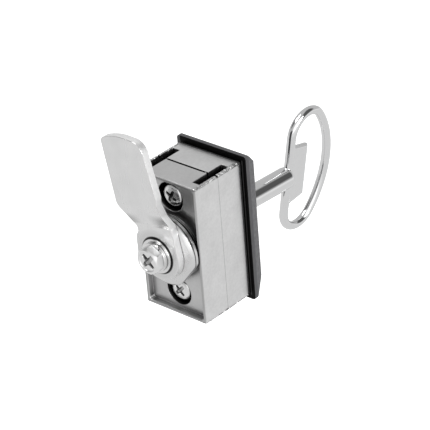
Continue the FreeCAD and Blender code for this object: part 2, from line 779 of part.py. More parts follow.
def make_stop_pin():
    pin = doc.addObject("Part::Cylinder", "stop_pin")
    pin.Label = "stop_pin"
    bind(pin, "Radius", size("stop_radius"))
    free = boss_plane - disc_front + size("stop_depth") - size("end_gap")
    bind(pin, "Height", size("stop_seat") + free)
    pin.Placement = FreeCAD.Placement(FreeCAD.Vector(), FreeCAD.Rotation(FreeCAD.Vector(1, 0, 0), 90))
    bind(pin, "Placement.Base.x", size("stop_circle") * cosine(size("stop_angle")))
    bind(pin, "Placement.Base.y", boss_plane + size("stop_seat"))
    bind(pin, "Placement.Base.z", size("stop_circle") * sine(size("stop_angle")))
    return pin


def add_cranked_side(sketch, low, high):
    """Side view of the bent plate, its two bends with a common centre inside and out."""
    start, end = size("cam_bend_start"), size("cam_bend_end")
    offset, thick = size("cam_offset"), size("cam_thickness")
    run = end - start
    slant = root(offset * offset + run * run)
    half_turn = (slant - run) / offset
    inner = size("cam_bend_radius")
    outer = inner + thick
    front, rear = cam_front, cam_rear
    drop = thick * half_turn

    def bend(plane, vertex, radius, upper):
        """Ends of the arc at one bend, the lower first."""
        reach = radius * half_turn
        along_slant = (reach * offset / slant, reach * run / slant)
        if upper:
            return (plane + along_slant[0], vertex - along_slant[1]), (plane, vertex + reach)
        return (plane, vertex - reach), (plane - along_slant[0], vertex + along_slant[1])

    front_low = bend(front, start, outer, False)
    front_high = bend(front - offset, end, inner, True)
    rear_low = bend(rear, start - drop, inner, False)
    rear_high = bend(rear - offset, end - drop, outer, True)
    add_outline(sketch, [
        (front, low), (*front_low[0], outer), front_low[1], (*front_high[0], 0 - inner), front_high[1],
        (front - offset, high), (rear - offset, high), (*rear_high[1], outer), rear_high[0],
        (*rear_low[1], 0 - inner), rear_low[0], (rear, low),
    ])


def make_cam():
    """Cam plate with a round hub, a cranked neck and a wide blade."""
    body = new_body("cam")
    hub, length = size("cam_hub_radius"), size("cam_length")
    outline = across(body, "outline", cam_front)
    neck_left, neck_right = 0 - size("cam_neck_left"), size("cam_neck_right")
    neck_height = size("cam_neck_height")
    meet = root(hub * hub - neck_left * neck_left)
    left, right = 0 - size("cam_blade_left"), size("cam_blade_right")
    tip_left, tip_right = 0 - size("cam_tip_left"), size("cam_tip_right")
    big, small = size("cam_corner_right"), size("cam_corner_left")
    shoulder = length - size("cam_tip_fall")
    waist = (size("cam_waist_right"), size("cam_waist_height"))
    side_corners = [
        (neck_right, neck_height), waist, (right, size("cam_blade_right_height")),
        (left, size("cam_blade_left_height")), (neck_left, neck_height),
    ]
    add_outline(outline, [
        (hub, 0), *side_corners[:3],
        (tip_right, shoulder - big, big),
        (tip_right - size("cam_corner_right_run"), shoulder, size("cam_crown")),
        (tip_left + size("cam_corner_left_run"), length - size("cam_corner_left_start"), small),
        (tip_left, length - size("cam_corner_left_end")),
        *side_corners[3:], (neck_left, meet, hub), (0, 0 - hub, hub),
    ])
    pad(body, outline, size("cam_thickness") + size("cam_offset"))

    def side_corner(spot):
        return any(near(spot.x, x) and near(spot.z, z) for x, z in side_corners)

    dress(body, "Fillet", side_corner, size("cam_side_round"), "sides")
    side = along(body, "side")
    past = size("cam_thickness")
    low, high = 0 - hub - past, length + past
    add_box(side, cam_rear - size("cam_offset") - past, low - past, cam_front + past, high + past)
    add_cranked_side(side, low, high)
    cut(body, side, both=True)
    hole = across(body, "square_hole", cam_front)
    add_square_with_corners(hole, size("tail_square") / 2 + size("tail_gap"), size("tail_corner"))
    cut(body, hole)
    place_turned(body, size("cam_lean_angle"))
    return body


def make_spring_washer():
    """Split lock washer, pressed flat, with its slanted gap at the upper right."""
    body = make_ring("spring_washer", size("cam_screw_radius") + size("hole_gap"),
                     size("spring_washer_radius"), flat_washer_rear, size("spring_washer_thickness"))
    split = new_sketch(body, "split", "XY_Plane")
    slant = size("spring_washer_slant")
    half = size("spring_washer_split") / 2
    add_outline(split, [
        (slant - half, flat_washer_rear), (slant + half, flat_washer_rear),
        (half - slant, spring_washer_rear), (0 - half - slant, spring_washer_rear),
    ])
    feature = cut(body, split)
    bind(feature, "Length", size("spring_washer_radius") * 2)
    feature.Type = "Length"
    place_turned(body, size("cam_lean_angle") - size("spring_washer_angle"))
    return body


def make_cam_screw():
    """Hexagon screw with a dished head and a cross recess."""
    body = new_body("cam_screw")
    head = across(body, "head", spring_washer_rear)
    apothem = size("cam_screw_across_flats") / 2
    corner = apothem / cosine(30)
    turns = [size("head_angle") + 60 * n for n in range(6)]
    add_outline(head, [(corner * cosine(angle), corner * sine(angle)) for angle in turns])
    pad(body, head, size("cam_screw_head"))
    crown = along(body, "crown")
    face, bevel, width = cam_screw_face, size("head_bevel"), size("head_bevel_width")
    add_outline(crown, [
        (face, corner - width), (face + bevel * 2, corner + width), (face, corner + width),
    ])
    turn(body, crown, removing=True)
    dish = along(body, "dish")
    radius, depth = size("dish_radius"), size("dish_depth")
    add_outline(dish, [(face, 0), (face, radius), (face + depth, radius - depth), (face + depth, 0)])
    turn(body, dish, removing=True)
    cross_recess(body, face, "head", size("head_angle"))
    shank = across(body, "shank", spring_washer_rear + size("cam_screw_length"))
    add_circle(shank, 0, 0, size("cam_screw_radius") - size("running_gap"))
    pad(body, shank, size("cam_screw_length"))
    return body


def cross_recess(body, face, screw, angle):
    """Cross recess: two slots square to each other, each narrowing with depth."""
    sketch = across(body, "cross", face)
    half, reach = size(f"{screw}_cross_width") / 2, size(f"{screw}_cross_reach")
    c, s = cosine(angle), sine(angle)
    quarter = [(half, half), (half, reach), (0 - half, reach)]
    shape = []
    for turns in range(4):
        shape += quarter
        quarter = [(0 - y, x) for x, y in quarter]
    add_outline(sketch, [(c * x - s * y, s * x + c * y) for x, y in shape])
    recess = cut(body, sketch, size(f"{screw}_cross_depth"), forward=True)
    bind(recess, "TaperAngle", 0 - size("cross_draft_angle"))


def make_housing_screw(side, angle):
    """Pan head screw through both case halves into the front plate."""
    body = new_body("upper_screw" if side > 0 else "lower_screw")
    profile = along(body, "profile")
    face = head_seat - size("screw_head_height")
    radius, shank = size("screw_head_radius"), size("screw_radius")
    tip, edge = plate_rear + size("screw_reach"), size("screw_tip_edge")
    add_outline(profile, [
        (tip, 0), (face, 0), (face, size("screw_crown_flat")),
        (face + size("screw_crown_drop"), size("screw_crown_shoulder")),
        (face + size("screw_crown_height"), radius), (head_seat, radius),
        (head_seat, shank), (tip - edge, shank), (tip, shank - edge),
    ])
    turn(body, profile)
    cross_recess(body, face, "screw", angle)
    bind(body, "Placement.Base.z", size("screw_pitch") * side)
    return body


def make_pair(name, members):
    pair = doc.addObject("Part::Compound", name)
    pair.Label = name
    pair.Links = members
    return pair


def make_locating_pins():
    pins = []
    for side in (1, -1):
        pin = doc.addObject("Part::Cylinder", f"locating_pin_{'right' if side > 0 else 'left'}")
        bind(pin, "Radius", size("locating_radius"))
        bind(pin, "Height", size("locating_length"))
        pin.Placement = FreeCAD.Placement(FreeCAD.Vector(), FreeCAD.Rotation(FreeCAD.Vector(1, 0, 0), 90))
        bind(pin, "Placement.Base.x", size("locating_across") * side)
        bind(pin, "Placement.Base.y", seam + size("locating_length") / 2)
        bind(pin, "Placement.Base.z", size("locating_along") * side)
        pins.append(pin)
    return make_pair("locating_pins", pins)


def make_key():
    """Key: a slotted tube, a round bar bent to a D, and a flat plate in the D."""
    body = new_body("key")
    tube = along(body, "tube")
    tip = 0 - size("key_insert")
    bore_end = tip + size("key_bore_depth")
    tube_end = size("bow_start")
    radius, bore = size("key_radius"), size("key_bore")
    shoulder, edge = size("key_shoulder"), size("key_tip_edge")
    add_outline(tube, [
        (tube_end, 0), (tube_end, radius - shoulder, shoulder), (tube_end - shoulder, radius),
        (tip + edge, radius), (tip, radius - edge), (tip, bore), (bore_end, bore), (bore_end + bore / 2, 0),
    ])
    turn(body, tube)
    slots = across(body, "slots", tip + size("key_slot_depth"))
    half = size("key_slot_width") / 2
    add_box(slots, 0 - half, 0 - radius * 2, half, radius * 2)
    cut(body, slots)
    web = along(body, "web")
    start, reach = size("bow_start"), size("web_reach")
    add_outline(web, [
        (start, 0 - size("web_half_height")), (start + reach, 0 - size("web_end_half")),
        (start + reach, size("web_end_half")), (start, size("web_half_height")),
    ])
    pad(body, web, size("web_thickness"), both=True)

    def web_edge(spot):
        face = near(abs(spot.x), size("web_thickness") / 2)
        rim = abs(spot.z) > size("web_end_half").value - 0.01 or near(spot.y, start + reach)
        return face and rim

    dress(body, "Chamfer", web_edge, size("web_bevel"), "web_edges")
    path = along(body, "bow_path")
    corner, far = size("bow_corner"), size("bow_far_radius")
    centre = size("bow_far_centre")
    away = start + corner - centre
    high = root((far - corner) * (far - corner) - away * away)
    share = far / (far - corner)
    add_outline(path, [
        (start, high), (start, 0 - high, corner),
        (centre + away * share, 0 - high * share, far), (centre + far, 0, far),
        (centre + away * share, high * share, corner),
    ])
    ring = new_sketch(body, "bow_bar", "XY_Plane")
    add_circle(ring, 0, start, size("bow_wire"))
    bow = body.newObject("PartDesign::AdditivePipe", "key_bow")
    bow.Profile = ring
    bow.Spine = path
    body.Tip = bow
    droop = FreeCAD.Rotation(FreeCAD.Vector(1, 0, 0), -sheet.get("key_droop_angle"))
    roll = FreeCAD.Rotation(FreeCAD.Vector(0, 1, 0), sheet.get("key_roll_angle"))
    pivot = FreeCAD.Vector(0, sheet.get("key_pivot"), 0)
    body.Placement = FreeCAD.Placement(pivot, droop.multiply(roll))
    return body


def make_all():
    upper = make_housing_screw(1, 20)
    lower = make_housing_screw(-1, 40)
    gap = size("hole_gap")
    return [
        make_rear_housing(),
        make_front_housing(),
        make_locating_pins(),
        make_pair("housing_screws", [upper, lower]),
        make_gasket(),
        make_front_plate(),
        make_ring("rear_bushing", bushing_bore, bushing_radius, cavity_rear, cavity_rear - boss_plane),
        make_stop_pin(),
        make_spindle(),
        make_key_pin(),
        make_rotor_seal(),
        make_drive_pinion(),
        make_ring("thrust_washer", bushing_bore, washer_radius, washer_front, size("washer_thickness")),
        make_stop_disc(),
        make_cam(),
        make_ring("flat_washer", size("cam_screw_radius") + gap, size("flat_washer_radius"),
                  cam_rear, size("flat_washer_thickness")),
        make_spring_washer(),
        make_cam_screw(),
        make_key(),
    ]


def check_document():
    for item in doc.Objects:
        bad = [state for state in item.State if state in ("Invalid", "Error")]
        if bad:
            raise RuntimeError(f"{item.Name} failed: {item.State}")


def export_all(subparts):
    os.makedirs("parts", exist_ok=True)
    for item in subparts:
        shape = item.Shape
        if shape.isNull() or not shape.isValid() or not shape.Solids:
            raise RuntimeError(f"{item.Label} has no valid solid")
        shape.exportStep(f"parts/{item.Label}.step")
        print(f"{item.Label}: {len(shape.Solids)} solid(s), {shape.Volume:.1f} mm3, "
              f"y {shape.BoundBox.YMin:.2f} to {shape.BoundBox.YMax:.2f}")


subparts = make_all()
doc.recompute()
check_document()
export_all(subparts)
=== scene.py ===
import json
import math

import bmesh
import bpy
from mathutils import Matrix, Vector

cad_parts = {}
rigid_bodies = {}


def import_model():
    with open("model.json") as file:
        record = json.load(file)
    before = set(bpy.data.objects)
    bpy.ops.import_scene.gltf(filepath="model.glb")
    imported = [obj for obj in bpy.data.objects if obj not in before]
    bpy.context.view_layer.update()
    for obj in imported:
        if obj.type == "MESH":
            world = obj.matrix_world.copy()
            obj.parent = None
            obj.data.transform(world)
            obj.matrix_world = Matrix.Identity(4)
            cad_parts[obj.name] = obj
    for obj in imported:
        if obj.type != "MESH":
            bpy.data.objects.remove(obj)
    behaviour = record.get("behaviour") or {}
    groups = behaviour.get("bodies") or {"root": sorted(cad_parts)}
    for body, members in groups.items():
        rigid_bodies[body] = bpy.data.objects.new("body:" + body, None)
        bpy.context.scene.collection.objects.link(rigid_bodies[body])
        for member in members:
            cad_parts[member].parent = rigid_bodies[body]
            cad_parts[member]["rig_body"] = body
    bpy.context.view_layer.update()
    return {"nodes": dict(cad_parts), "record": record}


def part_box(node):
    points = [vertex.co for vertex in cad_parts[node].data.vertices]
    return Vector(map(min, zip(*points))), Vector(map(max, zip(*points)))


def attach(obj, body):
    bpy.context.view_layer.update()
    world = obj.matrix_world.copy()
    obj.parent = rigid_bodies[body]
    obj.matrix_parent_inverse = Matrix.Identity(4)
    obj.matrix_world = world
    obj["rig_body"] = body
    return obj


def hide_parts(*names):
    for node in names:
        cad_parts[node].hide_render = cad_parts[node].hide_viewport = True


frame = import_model()
nodes = frame["nodes"]

# Looks of the quarter turn cam lock. Lengths are in metres, and MM makes millimetres metres.

MM = 0.001
WHITE = (1.0, 1.0, 1.0, 1.0)

# The photograph's camera, fitted to the edges of the case
PHOTO_SIDE = 430
CAMERA_AZIMUTH = math.radians(43.025)
CAMERA_ELEVATION = math.radians(29.618)
CAMERA_ROLL = math.radians(-4.652)
CAMERA_DISTANCE = 800.72 * MM
CAMERA_RIGHT = 0.525 * MM
CAMERA_UP = 1.717 * MM
FOCAL_PIXELS = 2103.95
SENSOR_WIDTH = 36.0
NEAREST_SEEN = 0.01
FARTHEST_SEEN = 50

# Pale floor, lighter in mirror images where it lies far to the right
FLOOR_DROP = 0.22
FLOOR_SIZE = 8.0
FLOOR_TONE = 0.80
FLOOR_GLOW = 0.6
FAR_FLOOR_TONE = 0.95
FAR_FLOOR = (0.34, 0.70)

# Studio as polished metal mirrors it: pale walls, a bright card beside the camera, a
# dark flag behind the object on the right and a dark gap between the walls on the left
WORLD_STRENGTH = 0.75
STUDIO_TONE = 0.62
CARD_TONE = 1.45
CARD_CENTRE = (0.76, -0.60, 0.24)
CARD_CORE = math.radians(12)
CARD_EDGE = math.radians(44)
FLAG_TONE = 0.11
FLAG_CENTRE = (0.71, 0.46, 0.53)
FLAG_ALONG = (-0.68, 0.25, 0.69)
FLAG_HALF_LENGTH = 0.68
FLAG_HALF_WIDTH = 0.56
FLAG_CORE = 0.66
OUT_OF_FLAG = 9.0
GAP_CENTRE = (-0.62, -0.45, 0.64)
GAP_CORE = math.radians(13)
GAP_EDGE = math.radians(27)
GAP_TONE = 0.15

# Softboxes: place and side in metres, and power in watts
SOFTBOXES = {
    "softbox_right": ((1.2, -0.1, 0.5), 0.7, 9),
    "softbox_above": ((-0.3, -0.4, 1.3), 0.8, 9),
}

# Nearly all of a noise lies between these values
NOISE_LOW = 0.3
NOISE_HIGH = 0.7

# Edges that a finish follows, each as the start and end of a soft change in millimetres:
# Y from the face of the case that lies on the gasket, X and Z from the spindle's axis
CASE_REAR = 24.8
RIM_FACE = (CASE_REAR - 0.25, CASE_REAR - 0.1)
RECESS_START = (20.5, 21.5)
REAR_HALF = (11.9, 12.4)
CLEAR_OF_PLATE = (3.9, 4.4)
SIDE_SKIN = (14.88, 14.98)
END_SKIN = (28.88, 28.98)
END_WALL = (28.8, 28.9)
WORN_SIDE = (13.6, 13.8)
WORN_END = (28.2, 28.6)

# Edges of the painted shade on the seam's walls, at the case's ends and along its sides
END_SEAM_FRONT = (11.6, 11.7)
END_SEAM_BACK = (12.7, 12.8)
END_SEAM_SIDE = (14.9, 14.95)
END_SEAM_FLOOR = (28.0, 28.1)
END_SEAM_MOUTH = (28.93, 28.97)
SIDE_SEAM_FRONT = (11.78, 11.84)
SIDE_SEAM_BACK = (11.96, 12.02)
SIDE_SEAM_FLOOR = (14.8, 14.9)

# Edges on the front plate
PLATE_REAR = 1.5
PLATE_BACK = (PLATE_REAR + 0.12, PLATE_REAR + 0.25)
PLATE_SIDE = (16.3, 16.5)
PLATE_RAISED = (3.3, 3.5)
BACK_SHADE_FROM = (-15.7, -15.2)
PALE_LINE_START = (15.0, 15.1)
PALE_LINE_STOP = (15.4, 15.5)
PALE_LINE_END = (29.0, 29.4)

# Edges on the cam, along and across its blade and then from the spindle's axis
CAM_LEAN = math.radians(12)
NECK_START = (12.6, 13.8)
NECK_STOP = (15.6, 18.4)
NECK_SIDE = (2.0, 11.0)
HUB_FACE = (11.0, 9.0)
WASHER_SHADOW = (7.9, 7.5)

# Turned pieces: their fine rings and the thin dark line round the disc's side
RING_SPACING = 2.4
DISC_DARK_LINE = 26.9
DARK_LINE_CORE = 0.2
DARK_LINE_SIDE = 0.3
DARK_LINE_FROM_AXIS = (12.5, 12.7)

# How far the painted crevice shade looks for a wall, in millimetres, and how open an unshaded place
# is
DEEP_CREVICE = (3.5, 0.78)
SHALLOW_CREVICE = (1.6, 0.62)


class Finish:
    """A material and the few node shapes that its finishes are made of."""

    def __init__(self, name, color, metallic, roughness):
        self.material = bpy.data.materials.new(name)
        self.material.use_nodes = True
        self.tree = self.material.node_tree
        self.shader = self.tree.nodes["Principled BSDF"]
        self.set("Base Color", (*color, 1.0))
        self.set("Metallic", metallic)
        self.set("Roughness", roughness)
        self.paint = None
        self.relief = None

    def set(self, socket, value):
        self.shader.inputs[socket].default_value = value

    def node(self, kind, **settings):
        made = self.tree.nodes.new(kind)
        for key, value in settings.items():
            setattr(made, key, value)
        return made

    def link(self, source, target):
        self.tree.links.new(source, target)

    def place(self, stretch=(1, 1, 1), turn=(0, 0, 0)):
        """Object coordinates, turned and stretched."""
        coordinates = self.node("ShaderNodeTexCoord")
        mapping = self.node("ShaderNodeMapping")
        mapping.inputs["Rotation"].default_value = turn
        mapping.inputs["Scale"].default_value = stretch
        self.link(coordinates.outputs["Object"], mapping.inputs["Vector"])
        return mapping.outputs["Vector"]

    def noise(self, grain, stretch=(1, 1, 1), detail=3, turn=(0, 0, 0)):
        """Noise whose spots are about one grain across, in millimetres."""
        noise = self.node("ShaderNodeTexNoise")
        noise.inputs["Scale"].default_value = 1 / (grain * MM)
        noise.inputs["Detail"].default_value = detail
        self.link(self.place(stretch, turn), noise.inputs["Vector"])
        return noise.outputs["Fac"]

    def spread(self, value, low, high, start=NOISE_LOW, end=NOISE_HIGH):
        """A value brought from start..end to low..high."""
        ramp = self.node("ShaderNodeMapRange")
        ramp.inputs["From Min"].default_value = start
        ramp.inputs["From Max"].default_value = end
        ramp.inputs["To Min"].default_value = low
        ramp.inputs["To Max"].default_value = high
        self.link(value, ramp.inputs["Value"])
        return ramp.outputs["Result"]

    def along(self, axis, edge, low, high, turn=(0, 0, 0), one_side=False):
        """Low before an edge and high past it, along an axis, on both sides of it or one."""
        parts = self.node("ShaderNodeSeparateXYZ")
        self.link(self.place(turn=turn), parts.inputs["Vector"])
        place = parts.outputs[axis]
        if not one_side:
            size = self.node("ShaderNodeMath", operation="ABSOLUTE")
            self.link(place, size.inputs[0])
            place = size.outputs["Value"]
        start, end = edge
        return self.spread(place, low, high, start * MM, end * MM)

    def past(self, axis, edge, full=1, **where):
        """Full past an edge and 0 before it."""
        return self.along(axis, edge, 0, full, **where)

    def before(self, axis, edge, full=1, **where):
        """Full before an edge and 0 past it."""
        return self.along(axis, edge, full, 0, **where)

    def from_axis(self, edge):
        """0 at an edge's first distance from the spindle's axis and 1 at its second."""
        flat = self.place(stretch=(1, 0, 1))
        size = self.node("ShaderNodeVectorMath", operation="LENGTH")
        self.link(flat, size.inputs[0])
        start, end = edge
        return self.spread(size.outputs["Value"], 0, 1, start * MM, end * MM)

    def product(self, first, *others):
        """All the values multiplied, so that it is 1 only where each of them is."""
        for other in others:
            times = self.node("ShaderNodeMath", operation="MULTIPLY")
            self.link(first, times.inputs[0])
            self.link(other, times.inputs[1])
            first = times.outputs["Value"]
        return first

    def tint(self, value, low, high):
        """Colour from low to high as the value goes from 0 to 1."""
        mix = self.node("ShaderNodeMix", data_type="RGBA")
        mix.inputs["A"].default_value = (*low, 1.0)
        mix.inputs["B"].default_value = (*high, 1.0)
        self.link(value, mix.inputs["Factor"])
        self.paint = mix.outputs["Result"]
        self.link(self.paint, self.shader.inputs["Base Color"])

    def stain(self, value, color):
        """Another colour over the tint, where the value is 1."""
        mix = self.node("ShaderNodeMix", data_type="RGBA")
        mix.inputs["B"].default_value = (*color, 1.0)
        self.link(self.paint, mix.inputs["A"])
        self.link(value, mix.inputs["Factor"])
        self.paint = mix.outputs["Result"]
        self.link(self.paint, self.shader.inputs["Base Color"])

    def crevices(self, color, *where, reach, closed, unshaded):
        """Painted shade where the surface is hemmed in within a reach."""
        room = self.node("ShaderNodeAmbientOcclusion", samples=12)
        room.inputs["Distance"].default_value = reach * MM
        hemmed_in = self.spread(room.outputs["AO"], 1, 0, closed, unshaded)
        self.stain(self.product(hemmed_in, *where), color)

    def shine(self, value, low, high):
        """Roughness from low to high with a noise."""
        self.link(self.spread(value, low, high), self.shader.inputs["Roughness"])

    def bump(self, value, depth, strength):
        """Adds relief of a depth in millimetres."""
        bump = self.node("ShaderNodeBump")
        bump.inputs["Distance"].default_value = depth * MM
        bump.inputs["Strength"].default_value = strength
        self.link(value, bump.inputs["Height"])
        if self.relief is not None:
            self.link(self.relief, bump.inputs["Normal"])
        self.relief = bump.outputs["Normal"]
        self.link(self.relief, self.shader.inputs["Normal"])


def grey(tone):
    return (tone, tone, tone)


def shade(color, factor):
    return tuple(part * factor for part in color)


def case_zinc():
    """Die cast zinc, satin plated, with faint drawn lines, a mottled skin and painted shade in its
    recess, crevices and seam.
    """
    color = grey(0.77)
    finish = Finish("zinc_casting", color, metallic=1.0, roughness=0.34)
    cloud = finish.spread(finish.noise(9.0, detail=2), 0, 1)
    finish.tint(cloud, shade(color, 0.95), shade(color, 1.05))
    # Painted shade in the rear recess, inside the rim
    recess = finish.product(
        finish.past("Y", RECESS_START), finish.before("X", SIDE_SKIN, 0.65),
        finish.before("Z", END_SKIN))
    finish.stain(recess, shade(color, 0.62))
    mottling = finish.spread(finish.noise(1.1), 0, 0.16)
    finish.stain(mottling, shade(color, 0.5))
    rear_end = finish.product(finish.past("Y", REAR_HALF, 0.28), finish.past("Z", END_WALL))
    finish.stain(rear_end, shade(color, 0.5))
    finish.stain(finish.past("Y", RIM_FACE, 0.45), shade(color, 0.4))
    # Painted shade: near black in the crevices behind the plate and on the walls of the seam
    painted_shade = (0.012, 0.012, 0.013)
    behind_plate = finish.past("Y", CLEAR_OF_PLATE)
    finish.crevices(painted_shade, behind_plate, reach=9.0, closed=0.20, unshaded=0.68)
    end_seam = finish.product(
        finish.past("Y", END_SEAM_FRONT), finish.before("Y", END_SEAM_BACK),
        finish.before("X", END_SEAM_SIDE), finish.past("Z", END_SEAM_FLOOR),
        finish.before("Z", END_SEAM_MOUTH))
    finish.stain(end_seam, painted_shade)
    side_seam = finish.product(
        finish.past("Y", SIDE_SEAM_FRONT), finish.before("Y", SIDE_SEAM_BACK, 0.5),
        finish.past("X", SIDE_SEAM_FLOOR))
    finish.stain(side_seam, painted_shade)
    lines = finish.noise(0.5, stretch=(1, 1, 0.06), detail=2)
    finish.shine(lines, 0.28, 0.38)
    finish.bump(lines, depth=0.010, strength=0.35)
    finish.bump(finish.noise(0.35), depth=0.008, strength=0.3)
    corner = finish.product(finish.past("X", WORN_SIDE), finish.past("Z", WORN_END))
    worn = finish.product(finish.spread(finish.noise(2.2), 0, 1, 0.38, 0.5), corner)
    finish.stain(finish.product(worn, finish.spread(finish.noise(0.8), 0, 0.6)), shade(color, 0.4))
    finish.bump(finish.product(worn, finish.noise(1.1, detail=1)), depth=0.8, strength=0.9)
    return finish.material


def plate_black():
    """Black coating with a fine even texture, a painted highlight on its raised sides and near
    black painted shade on the back and in crevices.
    """
    color = (0.082, 0.082, 0.085)
    finish = Finish("black_coating", color, metallic=0.0, roughness=0.42)
    finish.set("Specular IOR Level", 0.06)
    finish.tint(finish.spread(finish.noise(3.5), 0, 1), shade(color, 0.93), shade(color, 1.08))
    # Painted highlight on the sides of the raised part
    raised_side_highlight = finish.product(
        finish.past("Y", PLATE_RAISED), finish.past("X", PLATE_SIDE),
        finish.spread(finish.noise(1.3), 0.3, 1))
    finish.stain(raised_side_highlight, (0.14, 0.14, 0.145))
    # Painted shade: near black on the back and in crevices, but not at the left end
    back_shade = grey(0.0015)
    in_back_shade = finish.past("X", BACK_SHADE_FROM, one_side=True)
    back = finish.before("Y", PLATE_BACK)
    finish.stain(finish.product(back, in_back_shade), back_shade)
    finish.crevices(back_shade, in_back_shade, reach=8.0, closed=0.50, unshaded=0.90)
    pale_line = finish.product(
        back, finish.past("X", PALE_LINE_START), finish.before("X", PALE_LINE_STOP),
        finish.before("Z", PALE_LINE_END))
    finish.stain(pale_line, grey(0.045))
    grain = finish.noise(0.22, detail=4)
    finish.shine(grain, 0.36, 0.52)
    finish.bump(grain, depth=0.03, strength=0.5)
    return finish.material


def rubber(name, color, grain):
    """Black rubber or foam with a grain in millimetres."""
    finish = Finish(name, color, metallic=0.0, roughness=0.75)
    finish.tint(finish.spread(finish.noise(3.0), 0, 1), shade(color, 0.8), shade(color, 1.2))
    finish.bump(finish.noise(grain), depth=0.03, strength=0.5)
    return finish.material


def bushing_brass():
    """Brass with fine lines round its bore."""
    color = (0.72, 0.52, 0.22)
    finish = Finish("turned_brass", color, metallic=1.0, roughness=0.3)
    lines = finish.noise(0.3, stretch=(0.05, 1, 0.05))
    finish.tint(finish.spread(lines, 0, 1), shade(color, 0.85), color)
    finish.shine(lines, 0.22, 0.38)
    return finish.material


def key_chrome():
    """Bright chrome over a casting that isn't quite even."""
    color = (0.75, 0.752, 0.755)
    finish = Finish("bright_chrome", color, metallic=1.0, roughness=0.07)
    skin = finish.noise(2.6, detail=2)
    finish.tint(finish.spread(skin, 0, 1), shade(color, 0.97), color)
    finish.shine(skin, 0.04, 0.08)
    finish.bump(skin, depth=0.03, strength=0.15)
    return finish.material


def cam_steel():
    """Zinc plated sheet, stamped and tumbled smooth, with painted shade in the bend at its neck and
    a painted shadow round the washer.
    """
    color = grey(0.79)
    finish = Finish("plated_sheet", color, metallic=1.0, roughness=0.28)
    lean = (0, CAM_LEAN, 0)
    lines = finish.noise(0.9, stretch=(1, 1, 0.05), turn=lean, detail=2)
    cloud = finish.noise(7.0, detail=2)
    finish.tint(finish.spread(cloud, 0, 1), shade(color, 0.97), shade(color, 1.03))
    # Painted shade in the concave bend at the neck
    bend = finish.product(
        finish.past("Z", NECK_START, 0.9, turn=lean), finish.before("Z", NECK_STOP, turn=lean),
        finish.past("X", NECK_SIDE, turn=lean))
    finish.stain(bend, shade(color, 0.3))
    finish.stain(finish.from_axis(HUB_FACE), shade(color, 0.86))
    # Painted shadow of the washer on the hub
    finish.stain(finish.from_axis(WASHER_SHADOW), grey(0.02))
    finish.shine(lines, 0.22, 0.28)
    finish.bump(cloud, depth=0.03, strength=0.15)
    return finish.material


def sheared_edge():
    """The cam's cut edge, rougher than its faces, with a lighter colour as a painted highlight."""
    color = grey(0.93)
    finish = Finish("sheared_edge", color, metallic=1.0, roughness=0.5)
    lines = finish.noise(0.5, stretch=(0.3, 1, 0.3))
    finish.tint(finish.spread(lines, 0, 1), shade(color, 0.95), color)
    finish.shine(lines, 0.46, 0.54)
    return finish.material


def turned_steel(name, tone, low, high, crevice=DEEP_CREVICE, dark_line=None, crevice_shade=0.01):
    """Turned and plated steel with fine rings, painted shade in crevices and, on the disc, a thin
    dark line round its side.
    """
    color = grey(tone)
    finish = Finish(name, color, metallic=1.0, roughness=(low + high) / 2)
    rings = finish.node("ShaderNodeTexWave", wave_type="RINGS", rings_direction="Y")
    rings.inputs["Scale"].default_value = 1 / (RING_SPACING * MM)
    rings.inputs["Distortion"].default_value = 0.6
    rings.inputs["Detail"].default_value = 2
    finish.link(finish.place(), rings.inputs["Vector"])
    cloud = finish.noise(4.0, detail=2)
    finish.tint(finish.spread(cloud, 0, 1), shade(color, 0.96), shade(color, 1.03))
    reach, unshaded = crevice
    # Painted shade in crevices
    finish.crevices(grey(crevice_shade), reach=reach, closed=0.15, unshaded=unshaded)
    if dark_line:
        line = finish.product(
            finish.past("Y", (dark_line - DARK_LINE_SIDE, dark_line - DARK_LINE_CORE)),
            finish.before("Y", (dark_line + DARK_LINE_CORE, dark_line + DARK_LINE_SIDE)))
        finish.stain(finish.product(line, finish.from_axis(DARK_LINE_FROM_AXIS)), grey(0.12))
    finish.shine(cloud, low, high)
    finish.bump(rings.outputs["Fac"], depth=0.006, strength=0.3)
    return finish.material


def inner_steel():
    """Machined steel of the spindle and of the pieces round it."""
    color = grey(0.56)
    finish = Finish("machined_steel", color, metallic=1.0, roughness=0.35)
    lines = finish.noise(0.4, stretch=(1, 0.1, 1))
    finish.tint(finish.spread(lines, 0, 1), shade(color, 0.85), color)
    finish.shine(lines, 0.3, 0.45)
    return finish.material


FINISHES = {
    "case_zinc": case_zinc(),
    "plate_black": plate_black(),
    "gasket_rubber": rubber("gasket_foam", (0.022, 0.022, 0.023), 0.4),
    "seal_rubber": rubber("seal_ring_rubber", grey(0.02), 0.3),
    "bushing_brass": bushing_brass(),
    "key_chrome": key_chrome(),
    "cam_steel": cam_steel(),
    "disc_steel": turned_steel("turned_disc", 0.72, 0.24, 0.34, SHALLOW_CREVICE, DISC_DARK_LINE),
    "fastener_steel": turned_steel("bright_fasteners", 0.78, 0.15, 0.22, crevice_shade=0.05),
    "inner_steel": inner_steel(),
}
WASHER_FINISH = turned_steel("stamped_washer", 0.78, 0.20, 0.28, SHALLOW_CREVICE)
HEXAGON_FINISH = turned_steel("satin_hexagon", 0.84, 0.28, 0.36)
CUT_EDGE_FINISH = sheared_edge()

# Node, finished piece, width of its rounded edges in millimetres and material slot
VISIBLE = [
    ("rear_housing", "rear_casting", 0.14, "case_zinc"),
    ("front_housing", "front_casting", 0.12, "case_zinc"),
    ("gasket", "door_gasket", 0.08, "gasket_rubber"),
    ("front_plate", "cover_plate", 0.22, "plate_black"),
    ("stop_disc", "turn_stop_disc", 0.10, "disc_steel"),
    ("cam", "cranked_cam", 0.22, "cam_steel"),
    ("drive_pinion", "rod_pinion", 0.10, "inner_steel"),
    ("spindle", "key_spindle", 0.08, "inner_steel"),
    ("key_pin", "well_pin", 0.06, "inner_steel"),
]

